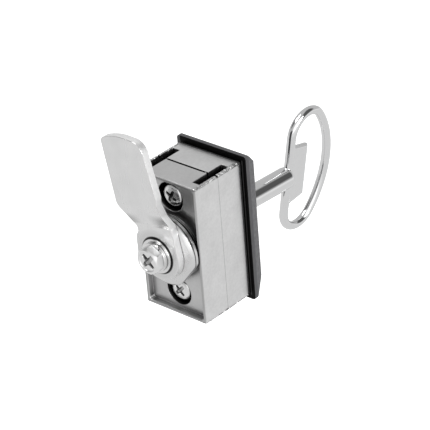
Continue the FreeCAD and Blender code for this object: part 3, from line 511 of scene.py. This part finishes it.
# Corners nearer than this are one, and faces that turn less than the angle are one
SAME_PLACE = 0.0005 * MM
FLAT_ANGLE = math.radians(0.4)

# Edges are rounded past the first angle, and stay crisp past the second
ROUNDED_ANGLE = math.radians(28)
CRISP_ANGLE = math.radians(40)

# A face of the cam is a cut one where its normal has less than this along the spindle
CUT_FACE = 0.3

# Gap between the case halves where the seam opens at the top
SEAM_OPENING = 0.62 * MM
SEAM_SHUT = 0.07 * MM
SEAM_REACH = 0.35 * MM
SEAM_HEIGHT = 28.4 * MM

# The key's casting: how fine and soft its skin is, and how it droops and rolls in its well
KEY_GRAIN = 0.25 * MM
KEY_SOFTENING = 7
KEY_PIVOT = Matrix.Translation((0, 7.8 * MM, 0))
KEY_DROOP = Matrix.Rotation(math.radians(-2.9), 4, "X")
KEY_ROLL = Matrix.Rotation(math.radians(8.2), 4, "Y")
BOW_WIRE = 1.855 * MM
BOW_START = 36.8 * MM
BOW_CORNER = 9.2 * MM
BOW_FAR_RADIUS = 36.8 * MM
BOW_FAR_CENTRE = 24.3 * MM
BOW_STEP = math.radians(2)

# Steps once round a screw head or a washer, and over a washer's rounded edge
TURN_STEPS = 144
EDGE_STEPS = 3

# Cross recesses: reach, half width, depth and turn
PAN_CROSS = (2.7 * MM, 0.66 * MM, 2.0 * MM, 0)
HEXAGON_CROSS = (3.3 * MM, 0.85 * MM, 2.1 * MM, math.radians(47))

# Slope of a recess's walls, and how its slots narrow and rise outwards
CROSS_SLOPE = 0.24 * MM
CROSS_MIDDLE = 1.25
CROSS_NARROWING = 0.35
CROSS_RISE = 0.55

# Pan heads of the case screws, and their threads
SEAT_OF_PAN_HEADS = -17.6 * MM
PAN_HEAD_RADIUS = 4.6 * MM
PAN_HEAD_HEIGHT = 4.4 * MM
PAN_HEAD_SIDE = 3.0 * MM
PAN_HEAD_PLACE = 20.4 * MM
PAN_HEAD_EDGE = 0.16 * MM
PAN_HEAD_RINGS = 34
PAN_RING_CROWDING = 1.5
CROWN_FLATNESS = 3.4
CROWN_FULLNESS = 0.55
PAN_CORE = 2.05 * MM
PAN_THREAD = 0.38 * MM
PAN_PITCH = 0.8 * MM
PAN_FIRST_TURN = math.radians(45)
PAN_TURN_BETWEEN = math.radians(-17)

# Hexagon head of the cam's screw, and its thread
HEXAGON_FLAT = 5.0 * MM
HEXAGON_SHARPNESS = 44
HEXAGON_CHAMFER_START = 4.62 * MM
HEXAGON_CHAMFER = math.radians(42)
HEXAGON_ANGLE = math.radians(35)
HEXAGON_EDGE_SHARES = (1.0, 0.93, 0.66, 0.33, 0.0)
HEXAGON_RINGS = 36
DISH_RADIUS = 4.3 * MM
DISH_FLOOR = 3.6 * MM
DISH_DEPTH = 0.6 * MM
HEXAGON_CORE = 2.45 * MM
HEXAGON_THREAD = 0.44 * MM
HEXAGON_PITCH = 1.0 * MM

# Washers under the hexagon: the rounding of their edges, their bores and the split one's cut
PLAIN_EDGE = 0.14 * MM
PLAIN_BORE = 3.2 * MM
SPLIT_EDGE = 0.2 * MM
SPLIT_BORE = 3.15 * MM
SPLIT_GAP = 0.5 * MM
SPLIT_ANGLE = math.radians(75)
SPLIT_SLANT = 1.2


def body_of(node):
    return nodes[node]["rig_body"]


def add_object(name, data):
    """A new object in the scene."""
    made = bpy.data.objects.new(name, data)
    bpy.context.scene.collection.objects.link(made)
    return made


def evaluated_mesh(piece):
    """The mesh of a piece with its modifiers or its curve's bevel worked out."""
    graph = bpy.context.evaluated_depsgraph_get()
    return bpy.data.meshes.new_from_object(piece.evaluated_get(graph))


def bake_modifiers(piece):
    """Turns the evaluated piece into its mesh and clears its modifiers."""
    mesh = evaluated_mesh(piece)
    piece.modifiers.clear()
    piece.data = mesh


def merged_copy(node, name):
    """A copy of a node's mesh with its triangles joined and its flat faces whole."""
    mesh = nodes[node].data.copy()
    mesh.name = name
    bm = bmesh.new()
    bm.from_mesh(mesh)
    bmesh.ops.remove_doubles(bm, verts=bm.verts, dist=SAME_PLACE)
    bmesh.ops.dissolve_limit(bm, angle_limit=FLAT_ANGLE, verts=bm.verts, edges=bm.edges)
    bm.to_mesh(mesh)
    bm.free()
    return add_object(name, mesh)


def smooth(piece):
    """Smooth faces with crisp edges, the wide faces kept flat."""
    piece.data.shade_smooth()
    piece.data.set_sharp_from_angle(angle=CRISP_ANGLE)
    even = piece.modifiers.new("even", "WEIGHTED_NORMAL")
    even.keep_sharp = True
    bake_modifiers(piece)


def round_edges(piece, width):
    """Rounds a piece's sharp edges by a width in millimetres."""
    bevel = piece.modifiers.new("edges", "BEVEL")
    bevel.width = width * MM
    bevel.segments = 2
    bevel.limit_method = "ANGLE"
    bevel.angle_limit = ROUNDED_ANGLE
    bevel.use_clamp_overlap = False
    bake_modifiers(piece)


def finish_piece(piece, node, slot, finish=None):
    """Gives a piece its finish and puts it in its node's place."""
    piece.data.materials.clear()
    piece.data.materials.append(finish or FINISHES[slot])
    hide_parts(node)
    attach(piece, body_of(node))


def fit_seam(piece, opening):
    """The seam gapes along the top of the case and is nearly closed along its sides."""
    bm = bmesh.new()
    bm.from_mesh(piece.data)
    bmesh.ops.bisect_plane(
        bm, geom=bm.verts[:] + bm.edges[:] + bm.faces[:],
        plane_co=(0, 0, SEAM_HEIGHT), plane_no=(0, 0, 1))
    bm.to_mesh(piece.data)
    bm.free()
    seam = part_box("front_housing")[0].y
    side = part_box("front_housing")[1].x
    for corner in piece.data.vertices:
        if abs(corner.co.y - seam) > SEAM_REACH:
            continue
        if corner.co.z > SEAM_HEIGHT + SEAM_SHUT:
            corner.co.y -= opening
        elif side - abs(corner.co.x) < SEAM_REACH:
            corner.co.x = math.copysign(side - SEAM_SHUT, corner.co.x)


def make_visible_pieces():
    """The pieces whose CAD shape only needs rounded edges, and the opened seam."""
    for node, name, width, slot in VISIBLE:
        piece = merged_copy(node, name)
        round_edges(piece, width)
        if node in ("rear_housing", "front_housing"):
            fit_seam(piece, SEAM_OPENING if node == "rear_housing" else 0)
        smooth(piece)
        finish_piece(piece, node, slot)


def finish_cut_edge():
    """Gives the cam's cut edge its own finish, all round its outline."""
    cam = bpy.data.objects["cranked_cam"]
    cam.data.materials.append(CUT_EDGE_FINISH)
    for face in cam.data.polygons:
        if abs(face.normal.y) < CUT_FACE:
            face.material_index = 1


def arc(along, up, radius, start, end):
    """Places on an arc in the key's own upright plane."""
    count = math.ceil(abs(end - start) / BOW_STEP)
    turns = [start + (end - start) * step / count for step in range(count + 1)]
    return [(0, along + radius * math.cos(turn), up + radius * math.sin(turn)) for turn in turns]


def bow_bar():
    """The bow's round bar: its far arc, two corners and the straight side between them."""
    along = BOW_START + BOW_CORNER
    reach = BOW_FAR_RADIUS - BOW_CORNER
    rise = math.sqrt(reach ** 2 - (along - BOW_FAR_CENTRE) ** 2)
    meet = math.asin(rise / reach)
    path = arc(BOW_FAR_CENTRE, 0, BOW_FAR_RADIUS, -meet, meet)
    path += arc(along, rise, BOW_CORNER, meet, math.pi)[1:]
    path += arc(along, -rise, BOW_CORNER, math.pi, 2 * math.pi - meet)[:-1]
    curve = bpy.data.curves.new("bow_path", "CURVE")
    curve.dimensions = "3D"
    curve.bevel_depth = BOW_WIRE
    curve.bevel_resolution = 10
    line = curve.splines.new("POLY")
    line.points.add(len(path) - 1)
    for point, place in zip(line.points, path):
        point.co = (*place, 1)
    line.use_cyclic_u = True
    bar = add_object("bow_path", curve)
    mesh = evaluated_mesh(bar)
    bpy.data.objects.remove(bar)
    return mesh


def cast_key():
    """The key as one casting, with soft fillets where the bow, its plate and the tube meet."""
    key = merged_copy("key", "bow_key")
    place = KEY_PIVOT @ KEY_DROOP @ KEY_ROLL
    key.data.transform(place.inverted())
    bm = bmesh.new()
    bm.from_mesh(key.data)
    bm.from_mesh(bow_bar())
    bm.to_mesh(key.data)
    bm.free()
    whole = key.modifiers.new("skin", "REMESH")
    whole.mode = "VOXEL"
    whole.voxel_size = KEY_GRAIN
    soft = key.modifiers.new("soft", "SMOOTH")
    soft.factor = 0.5
    soft.iterations = KEY_SOFTENING
    bake_modifiers(key)
    key.data.transform(place)
    key.data.shade_smooth()
    finish_piece(key, "key", "key_chrome")


def ease(value, start, end):
    """0 before start, 1 past end and a smooth rise between them."""
    share = min(1.0, max(0.0, (value - start) / (end - start)))
    return share * share * (3 - 2 * share)


def cross_depth(cross, radius, angle):
    """Depth of a cross recess at a place on a screw's face."""
    reach, half_width, deepest, turn = cross
    x = radius * math.cos(angle - turn)
    z = radius * math.sin(angle - turn)
    side, run = sorted((abs(x), abs(z)))
    wall_place = half_width * (CROSS_MIDDLE - CROSS_NARROWING * run / reach)
    wall = ease(wall_place - side, 0, CROSS_SLOPE)
    end = ease(reach - run, 0, CROSS_SLOPE)
    floor = 1 - CROSS_RISE * (run / reach) ** 2
    return deepest * wall * end * max(0.0, floor)


def ring(bm, seat, contour):
    """Corners about the spindle's direction; the contour gives radius and height by angle."""
    corners = []
    for step in range(TURN_STEPS):
        angle = 2 * math.pi * step / TURN_STEPS
        radius, height = contour(angle)
        place = (radius * math.cos(angle), seat - height, radius * math.sin(angle))
        corners.append(bm.verts.new(place))
        if radius == 0:
            break
    return corners


def skin(bm, rings):
    """Joins closed rings of corners with faces; a ring of one corner is a pole."""
    for lower, upper in zip(rings, rings[1:]):
        count = max(len(lower), len(upper))
        for step in range(count):
            after = (step + 1) % count
            corners = [lower[step % len(lower)], lower[after % len(lower)]]
            corners += [upper[after % len(upper)], upper[step % len(upper)]]
            bm.faces.new(list(dict.fromkeys(corners)))


def mesh_from(bm, name):
    """A new piece with the faces turned outwards."""
    bmesh.ops.recalc_face_normals(bm, faces=bm.faces)
    mesh = bpy.data.meshes.new(name)
    bm.to_mesh(mesh)
    bm.free()
    return add_object(name, mesh)


def pan_head():
    """Pan head with a rounded crown and a cross recess, seated at its place on the axis."""
    def crown(radius):
        share = min(1.0, radius / PAN_HEAD_RADIUS)
        rise = PAN_HEAD_HEIGHT - PAN_HEAD_SIDE
        return PAN_HEAD_SIDE + rise * (1 - share ** CROWN_FLATNESS) ** CROWN_FULLNESS

    def face(radius):
        return lambda angle: (radius, crown(radius) - cross_depth(PAN_CROSS, radius, angle))

    bm = bmesh.new()
    rings = [ring(bm, SEAT_OF_PAN_HEADS, lambda angle: (0, 0))]
    rings.append(ring(bm, SEAT_OF_PAN_HEADS, lambda angle: (PAN_HEAD_RADIUS - PAN_HEAD_EDGE, 0)))
    rings.append(ring(bm, SEAT_OF_PAN_HEADS, lambda angle: (PAN_HEAD_RADIUS, PAN_HEAD_EDGE)))
    for step in range(PAN_HEAD_RINGS):
        share = 1 - (step / PAN_HEAD_RINGS) ** PAN_RING_CROWDING
        rings.append(ring(bm, SEAT_OF_PAN_HEADS, face(PAN_HEAD_RADIUS * share)))
    deepest = crown(0) - PAN_CROSS[2]
    rings.append(ring(bm, SEAT_OF_PAN_HEADS, lambda angle: (0, deepest)))
    skin(bm, rings)
    return mesh_from(bm, "pan_head_screws")


def hexagon_radius(angle):
    """Distance from the axis to a hexagon with slightly rounded corners."""
    total = 0.0
    for side in range(6):
        toward = math.cos(angle - HEXAGON_ANGLE - math.radians(30 + 60 * side))
        total += max(0.0, toward / HEXAGON_FLAT) ** HEXAGON_SHARPNESS
    return total ** (-1 / HEXAGON_SHARPNESS)


def hexagon_head(seat, height):
    """Hexagon head with chamfered corners, a dished face and a cross recess."""
    def top(radius):
        chamfer = max(0.0, radius - HEXAGON_CHAMFER_START) * math.tan(HEXAGON_CHAMFER)
        dish = DISH_DEPTH * (1 - ease(radius, DISH_FLOOR, DISH_RADIUS))
        return height - chamfer - dish

    def edge(share):
        def contour(angle):
            outer = hexagon_radius(angle)
            radius = HEXAGON_CHAMFER_START + (outer - HEXAGON_CHAMFER_START) * share
            return radius, top(radius)
        return contour

    def face(radius):
        return lambda angle: (radius, top(radius) - cross_depth(HEXAGON_CROSS, radius, angle))

    bm = bmesh.new()
    rings = [ring(bm, seat, lambda angle: (0, 0))]
    rings.append(ring(bm, seat, lambda angle: (hexagon_radius(angle), 0)))
    for share in HEXAGON_EDGE_SHARES:
        rings.append(ring(bm, seat, edge(share)))
    for step in range(1, HEXAGON_RINGS):
        rings.append(ring(bm, seat, face(HEXAGON_CHAMFER_START * (1 - step / HEXAGON_RINGS))))
    rings.append(ring(bm, seat, lambda angle: (0, top(0) - HEXAGON_CROSS[2])))
    skin(bm, rings)
    return mesh_from(bm, "hexagon_screw")


# Inputs of the screw tree, with the sizes that both kinds of screw set
SCREW_INPUTS = [
    ("Head", "NodeSocketGeometry"),
    ("Core Radius", "NodeSocketFloat"),
    ("Thread Depth", "NodeSocketFloat"),
    ("Pitch", "NodeSocketFloat"),
    ("Shank Length", "NodeSocketFloat"),
    ("Seat", "NodeSocketFloat"),
    ("Screws", "NodeSocketInt"),
    ("First Place", "NodeSocketVector"),
    ("Spacing", "NodeSocketVector"),
    ("First Turn", "NodeSocketFloat"),
    ("Turn Between", "NodeSocketFloat"),
    ("Finish", "NodeSocketMaterial"),
]


class Tree:
    """A Geometry Nodes tree with named inputs."""

    def __init__(self, name, inputs):
        self.group = bpy.data.node_groups.new(name, "GeometryNodeTree")
        for label, kind in inputs:
            self.group.interface.new_socket(name=label, in_out="INPUT", socket_type=kind)
        self.group.interface.new_socket(
            name="Geometry", in_out="OUTPUT", socket_type="NodeSocketGeometry")
        self.given = self.node("NodeGroupInput").outputs

    def node(self, kind, **settings):
        made = self.group.nodes.new(kind)
        for key, value in settings.items():
            setattr(made, key, value)
        return made

    def join(self, source, target):
        self.group.links.new(source, target)

    def feed(self, made, **sources):
        """Links or sets a node's inputs by name, with _ for a space."""
        for key, source in sources.items():
            socket = made.inputs[key.replace("_", " ")]
            if isinstance(source, bpy.types.NodeSocket):
                self.join(source, socket)
            else:
                socket.default_value = source
        return made.outputs[0]

    def calculate(self, operation, first, second):
        """One sum on two sockets or numbers."""
        made = self.node("ShaderNodeMath", operation=operation)
        for socket, value in zip(made.inputs, (first, second)):
            if isinstance(value, bpy.types.NodeSocket):
                self.join(value, socket)
            else:
                socket.default_value = value
        return made.outputs[0]


def screw_tree():
    """Adds a threaded shank to a head and sets the screws out in a line."""
    tree = Tree("threaded_screws", SCREW_INPUTS)
    given = tree.given
    core = tree.feed(
        tree.node("GeometryNodeMeshCylinder"), Vertices=48,
        Radius=given["Core Radius"], Depth=given["Shank Length"])
    turns = tree.calculate("DIVIDE", given["Shank Length"], given["Pitch"])
    spiral = tree.feed(
        tree.node("GeometryNodeCurveSpiral"), Resolution=32, Rotations=turns,
        Start_Radius=given["Core Radius"], End_Radius=given["Core Radius"],
        Height=given["Shank Length"])
    upright = tree.feed(tree.node("GeometryNodeSetCurveNormal", mode="Z_UP"), Curve=spiral)
    ridge = tree.feed(
        tree.node("GeometryNodeCurvePrimitiveCircle"), Resolution=4, Radius=given["Thread Depth"])
    thread = tree.feed(
        tree.node("GeometryNodeCurveToMesh"), Curve=upright, Profile_Curve=ridge, Fill_Caps=True)
    half = tree.calculate("MULTIPLY", given["Shank Length"], 0.5)
    lift = tree.node("ShaderNodeCombineXYZ")
    tree.feed(lift, Z=half)
    core = tree.feed(
        tree.node("GeometryNodeTransform"), Geometry=core, Translation=lift.outputs[0])
    shank = tree.node("GeometryNodeJoinGeometry")
    tree.join(core, shank.inputs[0])
    tree.join(thread, shank.inputs[0])
    seat = tree.node("ShaderNodeCombineXYZ")
    tree.feed(seat, Y=given["Seat"])
    shank = tree.feed(
        tree.node("GeometryNodeTransform"), Geometry=shank.outputs[0],
        Translation=seat.outputs[0], Rotation=(-math.pi / 2, 0, 0))
    screw = tree.node("GeometryNodeJoinGeometry")
    tree.join(given["Head"], screw.inputs[0])
    tree.join(shank, screw.inputs[0])
    line = tree.feed(
        tree.node("GeometryNodeMeshLine"), Count=given["Screws"],
        Start_Location=given["First Place"], Offset=given["Spacing"])
    place = tree.node("GeometryNodeInputIndex").outputs[0]
    turned = tree.calculate("MULTIPLY", place, given["Turn Between"])
    spin = tree.node("ShaderNodeCombineXYZ")
    tree.feed(spin, Y=tree.calculate("ADD", turned, given["First Turn"]))
    screws = tree.feed(
        tree.node("GeometryNodeInstanceOnPoints"), Points=line, Instance=screw.outputs[0],
        Rotation=spin.outputs[0])
    real = tree.feed(tree.node("GeometryNodeRealizeInstances"), Geometry=screws)
    finished = tree.feed(
        tree.node("GeometryNodeSetMaterial"), Geometry=real, Material=given["Finish"])
    tree.join(finished, tree.node("NodeGroupOutput").inputs[0])
    return tree.group


def thread_screws(head, tree, sizes):
    """Runs the screw tree on a head with these sizes and keeps the result."""
    modifier = head.modifiers.new("threads", "NODES")
    modifier.node_group = tree
    for item in tree.interface.items_tree:
        if item.in_out == "INPUT" and item.name in sizes:
            modifier[item.identifier] = sizes[item.name]
    head.data.update()
    bake_modifiers(head)


def make_screws():
    """The two case screws and the cam's screw, threaded by the same tree."""
    tree = screw_tree()
    slot = "fastener_steel"
    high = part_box("housing_screws")[1]
    heads = pan_head()
    thread_screws(heads, tree, {
        "Core Radius": PAN_CORE, "Thread Depth": PAN_THREAD, "Pitch": PAN_PITCH,
        "Shank Length": high.y - SEAT_OF_PAN_HEADS, "Seat": SEAT_OF_PAN_HEADS,
        "Screws": 2, "First Place": (0, 0, -PAN_HEAD_PLACE), "Spacing": (0, 0, 2 * PAN_HEAD_PLACE),
        "First Turn": PAN_FIRST_TURN, "Turn Between": PAN_TURN_BETWEEN,
        "Finish": FINISHES[slot]})
    smooth(heads)
    finish_piece(heads, "housing_screws", slot)
    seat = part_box("spring_washer")[0].y
    low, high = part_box("cam_screw")
    head = hexagon_head(seat, seat - low.y)
    thread_screws(head, tree, {
        "Core Radius": HEXAGON_CORE, "Thread Depth": HEXAGON_THREAD, "Pitch": HEXAGON_PITCH,
        "Shank Length": high.y - seat, "Seat": seat,
        "Screws": 1, "First Place": (0, 0, 0), "Spacing": (0, 0, 0),
        "First Turn": 0.0, "Turn Between": 0.0, "Finish": HEXAGON_FINISH})
    smooth(head)
    finish_piece(head, "cam_screw", slot, HEXAGON_FINISH)


def washer_section(inner, outer, low, high, edge):
    """Corners of a washer's cross section with rounded edges, as radius and place."""
    corners = []
    for radius, toward, place, upward, backwards in (
            (outer, -1, high, -1, False), (outer, -1, low, 1, True),
            (inner, 1, low, 1, False), (inner, 1, high, -1, True)):
        bend = []
        for step in range(EDGE_STEPS + 1):
            turn = math.pi / 2 * step / EDGE_STEPS
            bend.append((
                radius + toward * edge * (1 - math.sin(turn)),
                place + upward * edge * (1 - math.cos(turn))))
        corners += reversed(bend) if backwards else bend
    return corners


def make_washer(node, name, edge, inner, gap=0.0, gap_angle=0.0, slant=0.0):
    """A plain washer, or a split one whose cut leans."""
    low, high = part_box(node)
    middle = (low.y + high.y) / 2
    section = washer_section(inner, high.x, low.y, high.y, edge)
    bm = bmesh.new()
    rings = []
    for step in range(TURN_STEPS):
        share = step / (TURN_STEPS - 1) if gap else step / TURN_STEPS
        cut = []
        for radius, place in section:
            opening = gap / high.x
            lean = slant * (place - middle) / high.x
            angle = gap_angle + opening / 2 + lean + share * (2 * math.pi - opening)
            cut.append(bm.verts.new((radius * math.cos(angle), place, radius * math.sin(angle))))
        rings.append(cut)
    if gap:
        skin(bm, rings)
        bm.faces.new(rings[0])
        bm.faces.new(rings[-1])
    else:
        skin(bm, rings + rings[:1])
    piece = mesh_from(bm, name)
    smooth(piece)
    finish_piece(piece, node, "fastener_steel", WASHER_FINISH)


def make_washers():
    """The plain washer on the cam and the split one under the hexagon."""
    make_washer("flat_washer", "plain_washer", PLAIN_EDGE, PLAIN_BORE)
    make_washer(
        "spring_washer", "split_washer", SPLIT_EDGE, SPLIT_BORE,
        gap=SPLIT_GAP, gap_angle=SPLIT_ANGLE - CAM_LEAN, slant=SPLIT_SLANT)


def dress_inner_nodes():
    """Gives the CAD nodes that stay, hidden among the others, the finish of their slot."""
    replaced = {name for name, mesh in nodes.items() if mesh.hide_render}
    for entry in frame["record"]["subparts"]:
        node = entry["node"]
        if node not in replaced:
            mesh = nodes[node]
            mesh.data.materials.clear()
            mesh.data.materials.append(FINISHES[entry["material_slot"]])


def make_camera():
    """A camera where the photograph's stood, turned by its roll and moved to its frame."""
    sa, ca = math.sin(CAMERA_AZIMUTH), math.cos(CAMERA_AZIMUTH)
    se, ce = math.sin(CAMERA_ELEVATION), math.cos(CAMERA_ELEVATION)
    back = Vector((sa * ce, -ca * ce, se))
    right = Vector((ca, sa, 0))
    up = back.cross(right)
    cr, sr = math.cos(CAMERA_ROLL), math.sin(CAMERA_ROLL)
    rolled_right = right * cr + up * sr
    rolled_up = up * cr - right * sr
    place = rolled_right * CAMERA_RIGHT + rolled_up * CAMERA_UP + back * CAMERA_DISTANCE
    data = bpy.data.cameras.new("photo_camera")
    data.sensor_width = SENSOR_WIDTH
    data.lens = SENSOR_WIDTH * FOCAL_PIXELS / PHOTO_SIDE
    data.clip_start = NEAREST_SEEN
    data.clip_end = FARTHEST_SEEN
    camera = add_object("photo_camera", data)
    axes = Matrix((rolled_right, rolled_up, back)).transposed()
    camera.matrix_world = Matrix.Translation(place) @ axes.to_4x4()
    bpy.context.scene.camera = camera


def along_direction(tree, source, axis):
    """How far a direction points along an axis."""
    dot = tree.nodes.new("ShaderNodeVectorMath")
    dot.operation = "DOT_PRODUCT"
    dot.inputs[1].default_value = axis
    tree.links.new(source, dot.inputs[0])
    return dot.outputs["Value"]


def change(tree, value, start, end, low, high, kind="SMOOTHSTEP"):
    """A change from low to high while the value goes from start to end."""
    made = tree.nodes.new("ShaderNodeMapRange")
    made.interpolation_type = kind
    tree.links.new(value, made.inputs["Value"])
    for socket, given in zip(("From Min", "From Max", "To Min", "To Max"), (start, end, low, high)):
        if isinstance(given, bpy.types.NodeSocket):
            tree.links.new(given, made.inputs[socket])
        else:
            made.inputs[socket].default_value = given
    return made.outputs["Result"]


def choose(tree, factor, otherwise, chosen):
    """One shader where the factor is 0 and the other where it is 1."""
    mix = tree.nodes.new("ShaderNodeMixShader")
    for socket, source in zip(mix.inputs, (factor, otherwise, chosen)):
        tree.links.new(source, socket)
    return mix.outputs[0]


def studio_light(tree):
    """Light of the studio by direction, with its bright card, dark flag and dark gap."""
    centre = Vector(FLAG_CENTRE).normalized()
    along = Vector(FLAG_ALONG)
    along = (along - centre * along.dot(centre)).normalized()
    across = centre.cross(along)
    direction = tree.nodes.new("ShaderNodeTexCoord").outputs["Generated"]
    place = tree.nodes.new("ShaderNodeCombineXYZ")
    tree.links.new(along_direction(tree, direction, along / FLAG_HALF_LENGTH), place.inputs["X"])
    tree.links.new(along_direction(tree, direction, across / FLAG_HALF_WIDTH), place.inputs["Y"])
    # Directions away from the flag are moved out of its outline
    toward = along_direction(tree, direction, centre)
    behind = change(tree, toward, -1.0, 0.0, OUT_OF_FLAG, 0.0, kind="LINEAR")
    tree.links.new(behind, place.inputs["Z"])
    distance = tree.nodes.new("ShaderNodeVectorMath")
    distance.operation = "LENGTH"
    tree.links.new(place.outputs["Vector"], distance.inputs[0])
    card = change(
        tree, along_direction(tree, direction, Vector(CARD_CENTRE).normalized()),
        math.cos(CARD_EDGE), math.cos(CARD_CORE), STUDIO_TONE, CARD_TONE)
    gap = change(
        tree, along_direction(tree, direction, Vector(GAP_CENTRE).normalized()),
        math.cos(GAP_EDGE), math.cos(GAP_CORE), card, GAP_TONE)
    return change(tree, distance.outputs["Value"], FLAG_CORE, 1.0, FLAG_TONE, gap)


def make_world():
    """White to the camera, and the studio's walls to polished metal."""
    world = bpy.data.worlds.new("studio")
    world.use_nodes = True
    tree = world.node_tree
    tree.nodes.clear()
    output = tree.nodes.new("ShaderNodeOutputWorld")
    path = tree.nodes.new("ShaderNodeLightPath")
    soft = tree.nodes.new("ShaderNodeBackground")
    soft.inputs["Strength"].default_value = WORLD_STRENGTH
    studio = tree.nodes.new("ShaderNodeBackground")
    tree.links.new(studio_light(tree), studio.inputs["Strength"])
    white = tree.nodes.new("ShaderNodeBackground")
    for background in (soft, studio, white):
        background.inputs["Color"].default_value = WHITE
    polished = choose(
        tree, path.outputs["Is Glossy Ray"], soft.outputs[0], studio.outputs[0])
    seen = tree.nodes.new("ShaderNodeMath")
    seen.operation = "MAXIMUM"
    tree.links.new(path.outputs["Is Camera Ray"], seen.inputs[0])
    tree.links.new(path.outputs["Is Transmission Ray"], seen.inputs[1])
    direct = choose(tree, seen.outputs[0], polished, white.outputs[0])
    tree.links.new(direct, output.inputs["Surface"])
    bpy.context.scene.world = world


def make_floor():
    """A pale floor, white to the camera wherever no shadow falls on it."""
    bm = bmesh.new()
    bmesh.ops.create_grid(bm, x_segments=1, y_segments=1, size=FLOOR_SIZE / 2)
    mesh = bpy.data.meshes.new("studio_floor")
    bm.to_mesh(mesh)
    bm.free()
    floor = add_object("studio_floor", mesh)
    floor.location.z = -FLOOR_DROP
    material = bpy.data.materials.new("pale_floor")
    material.use_nodes = True
    tree = material.node_tree
    tree.nodes.clear()
    output = tree.nodes.new("ShaderNodeOutputMaterial")
    path = tree.nodes.new("ShaderNodeLightPath")
    paint = tree.nodes.new("ShaderNodeBsdfDiffuse")
    paint.inputs["Color"].default_value = (*grey(FLOOR_TONE), 1)
    glow = tree.nodes.new("ShaderNodeEmission")
    glow.inputs["Strength"].default_value = FLOOR_GLOW
    lifted = tree.nodes.new("ShaderNodeAddShader")
    tree.links.new(paint.outputs[0], lifted.inputs[0])
    tree.links.new(glow.outputs[0], lifted.inputs[1])
    mirrored = tree.nodes.new("ShaderNodeEmission")
    place = tree.nodes.new("ShaderNodeTexCoord").outputs["Object"]
    rightward = along_direction(tree, place, (1, 0, 0))
    tone = change(tree, rightward, *FAR_FLOOR, FLOOR_TONE, FAR_FLOOR_TONE)
    tree.links.new(tone, mirrored.inputs["Strength"])
    polished = choose(
        tree, path.outputs["Is Glossy Ray"], paint.outputs[0], mirrored.outputs[0])
    direct = choose(tree, path.outputs["Is Camera Ray"], polished, lifted.outputs[0])
    tree.links.new(direct, output.inputs["Surface"])
    mesh.materials.append(material)


def make_lights():
    """Square softboxes that face the object."""
    for name, (place, side, power) in SOFTBOXES.items():
        data = bpy.data.lights.new(name, "AREA")
        data.shape = "SQUARE"
        data.size = side
        data.energy = power
        lamp = add_object(name, data)
        lamp.location = place
        lamp.rotation_euler = (-Vector(place)).to_track_quat("-Z", "Y").to_euler()


make_camera()
make_world()
make_floor()
make_lights()
make_visible_pieces()
finish_cut_edge()
cast_key()
make_screws()
make_washers()
dress_inner_nodes()
bpy.context.scene.view_settings.view_transform = "Standard"
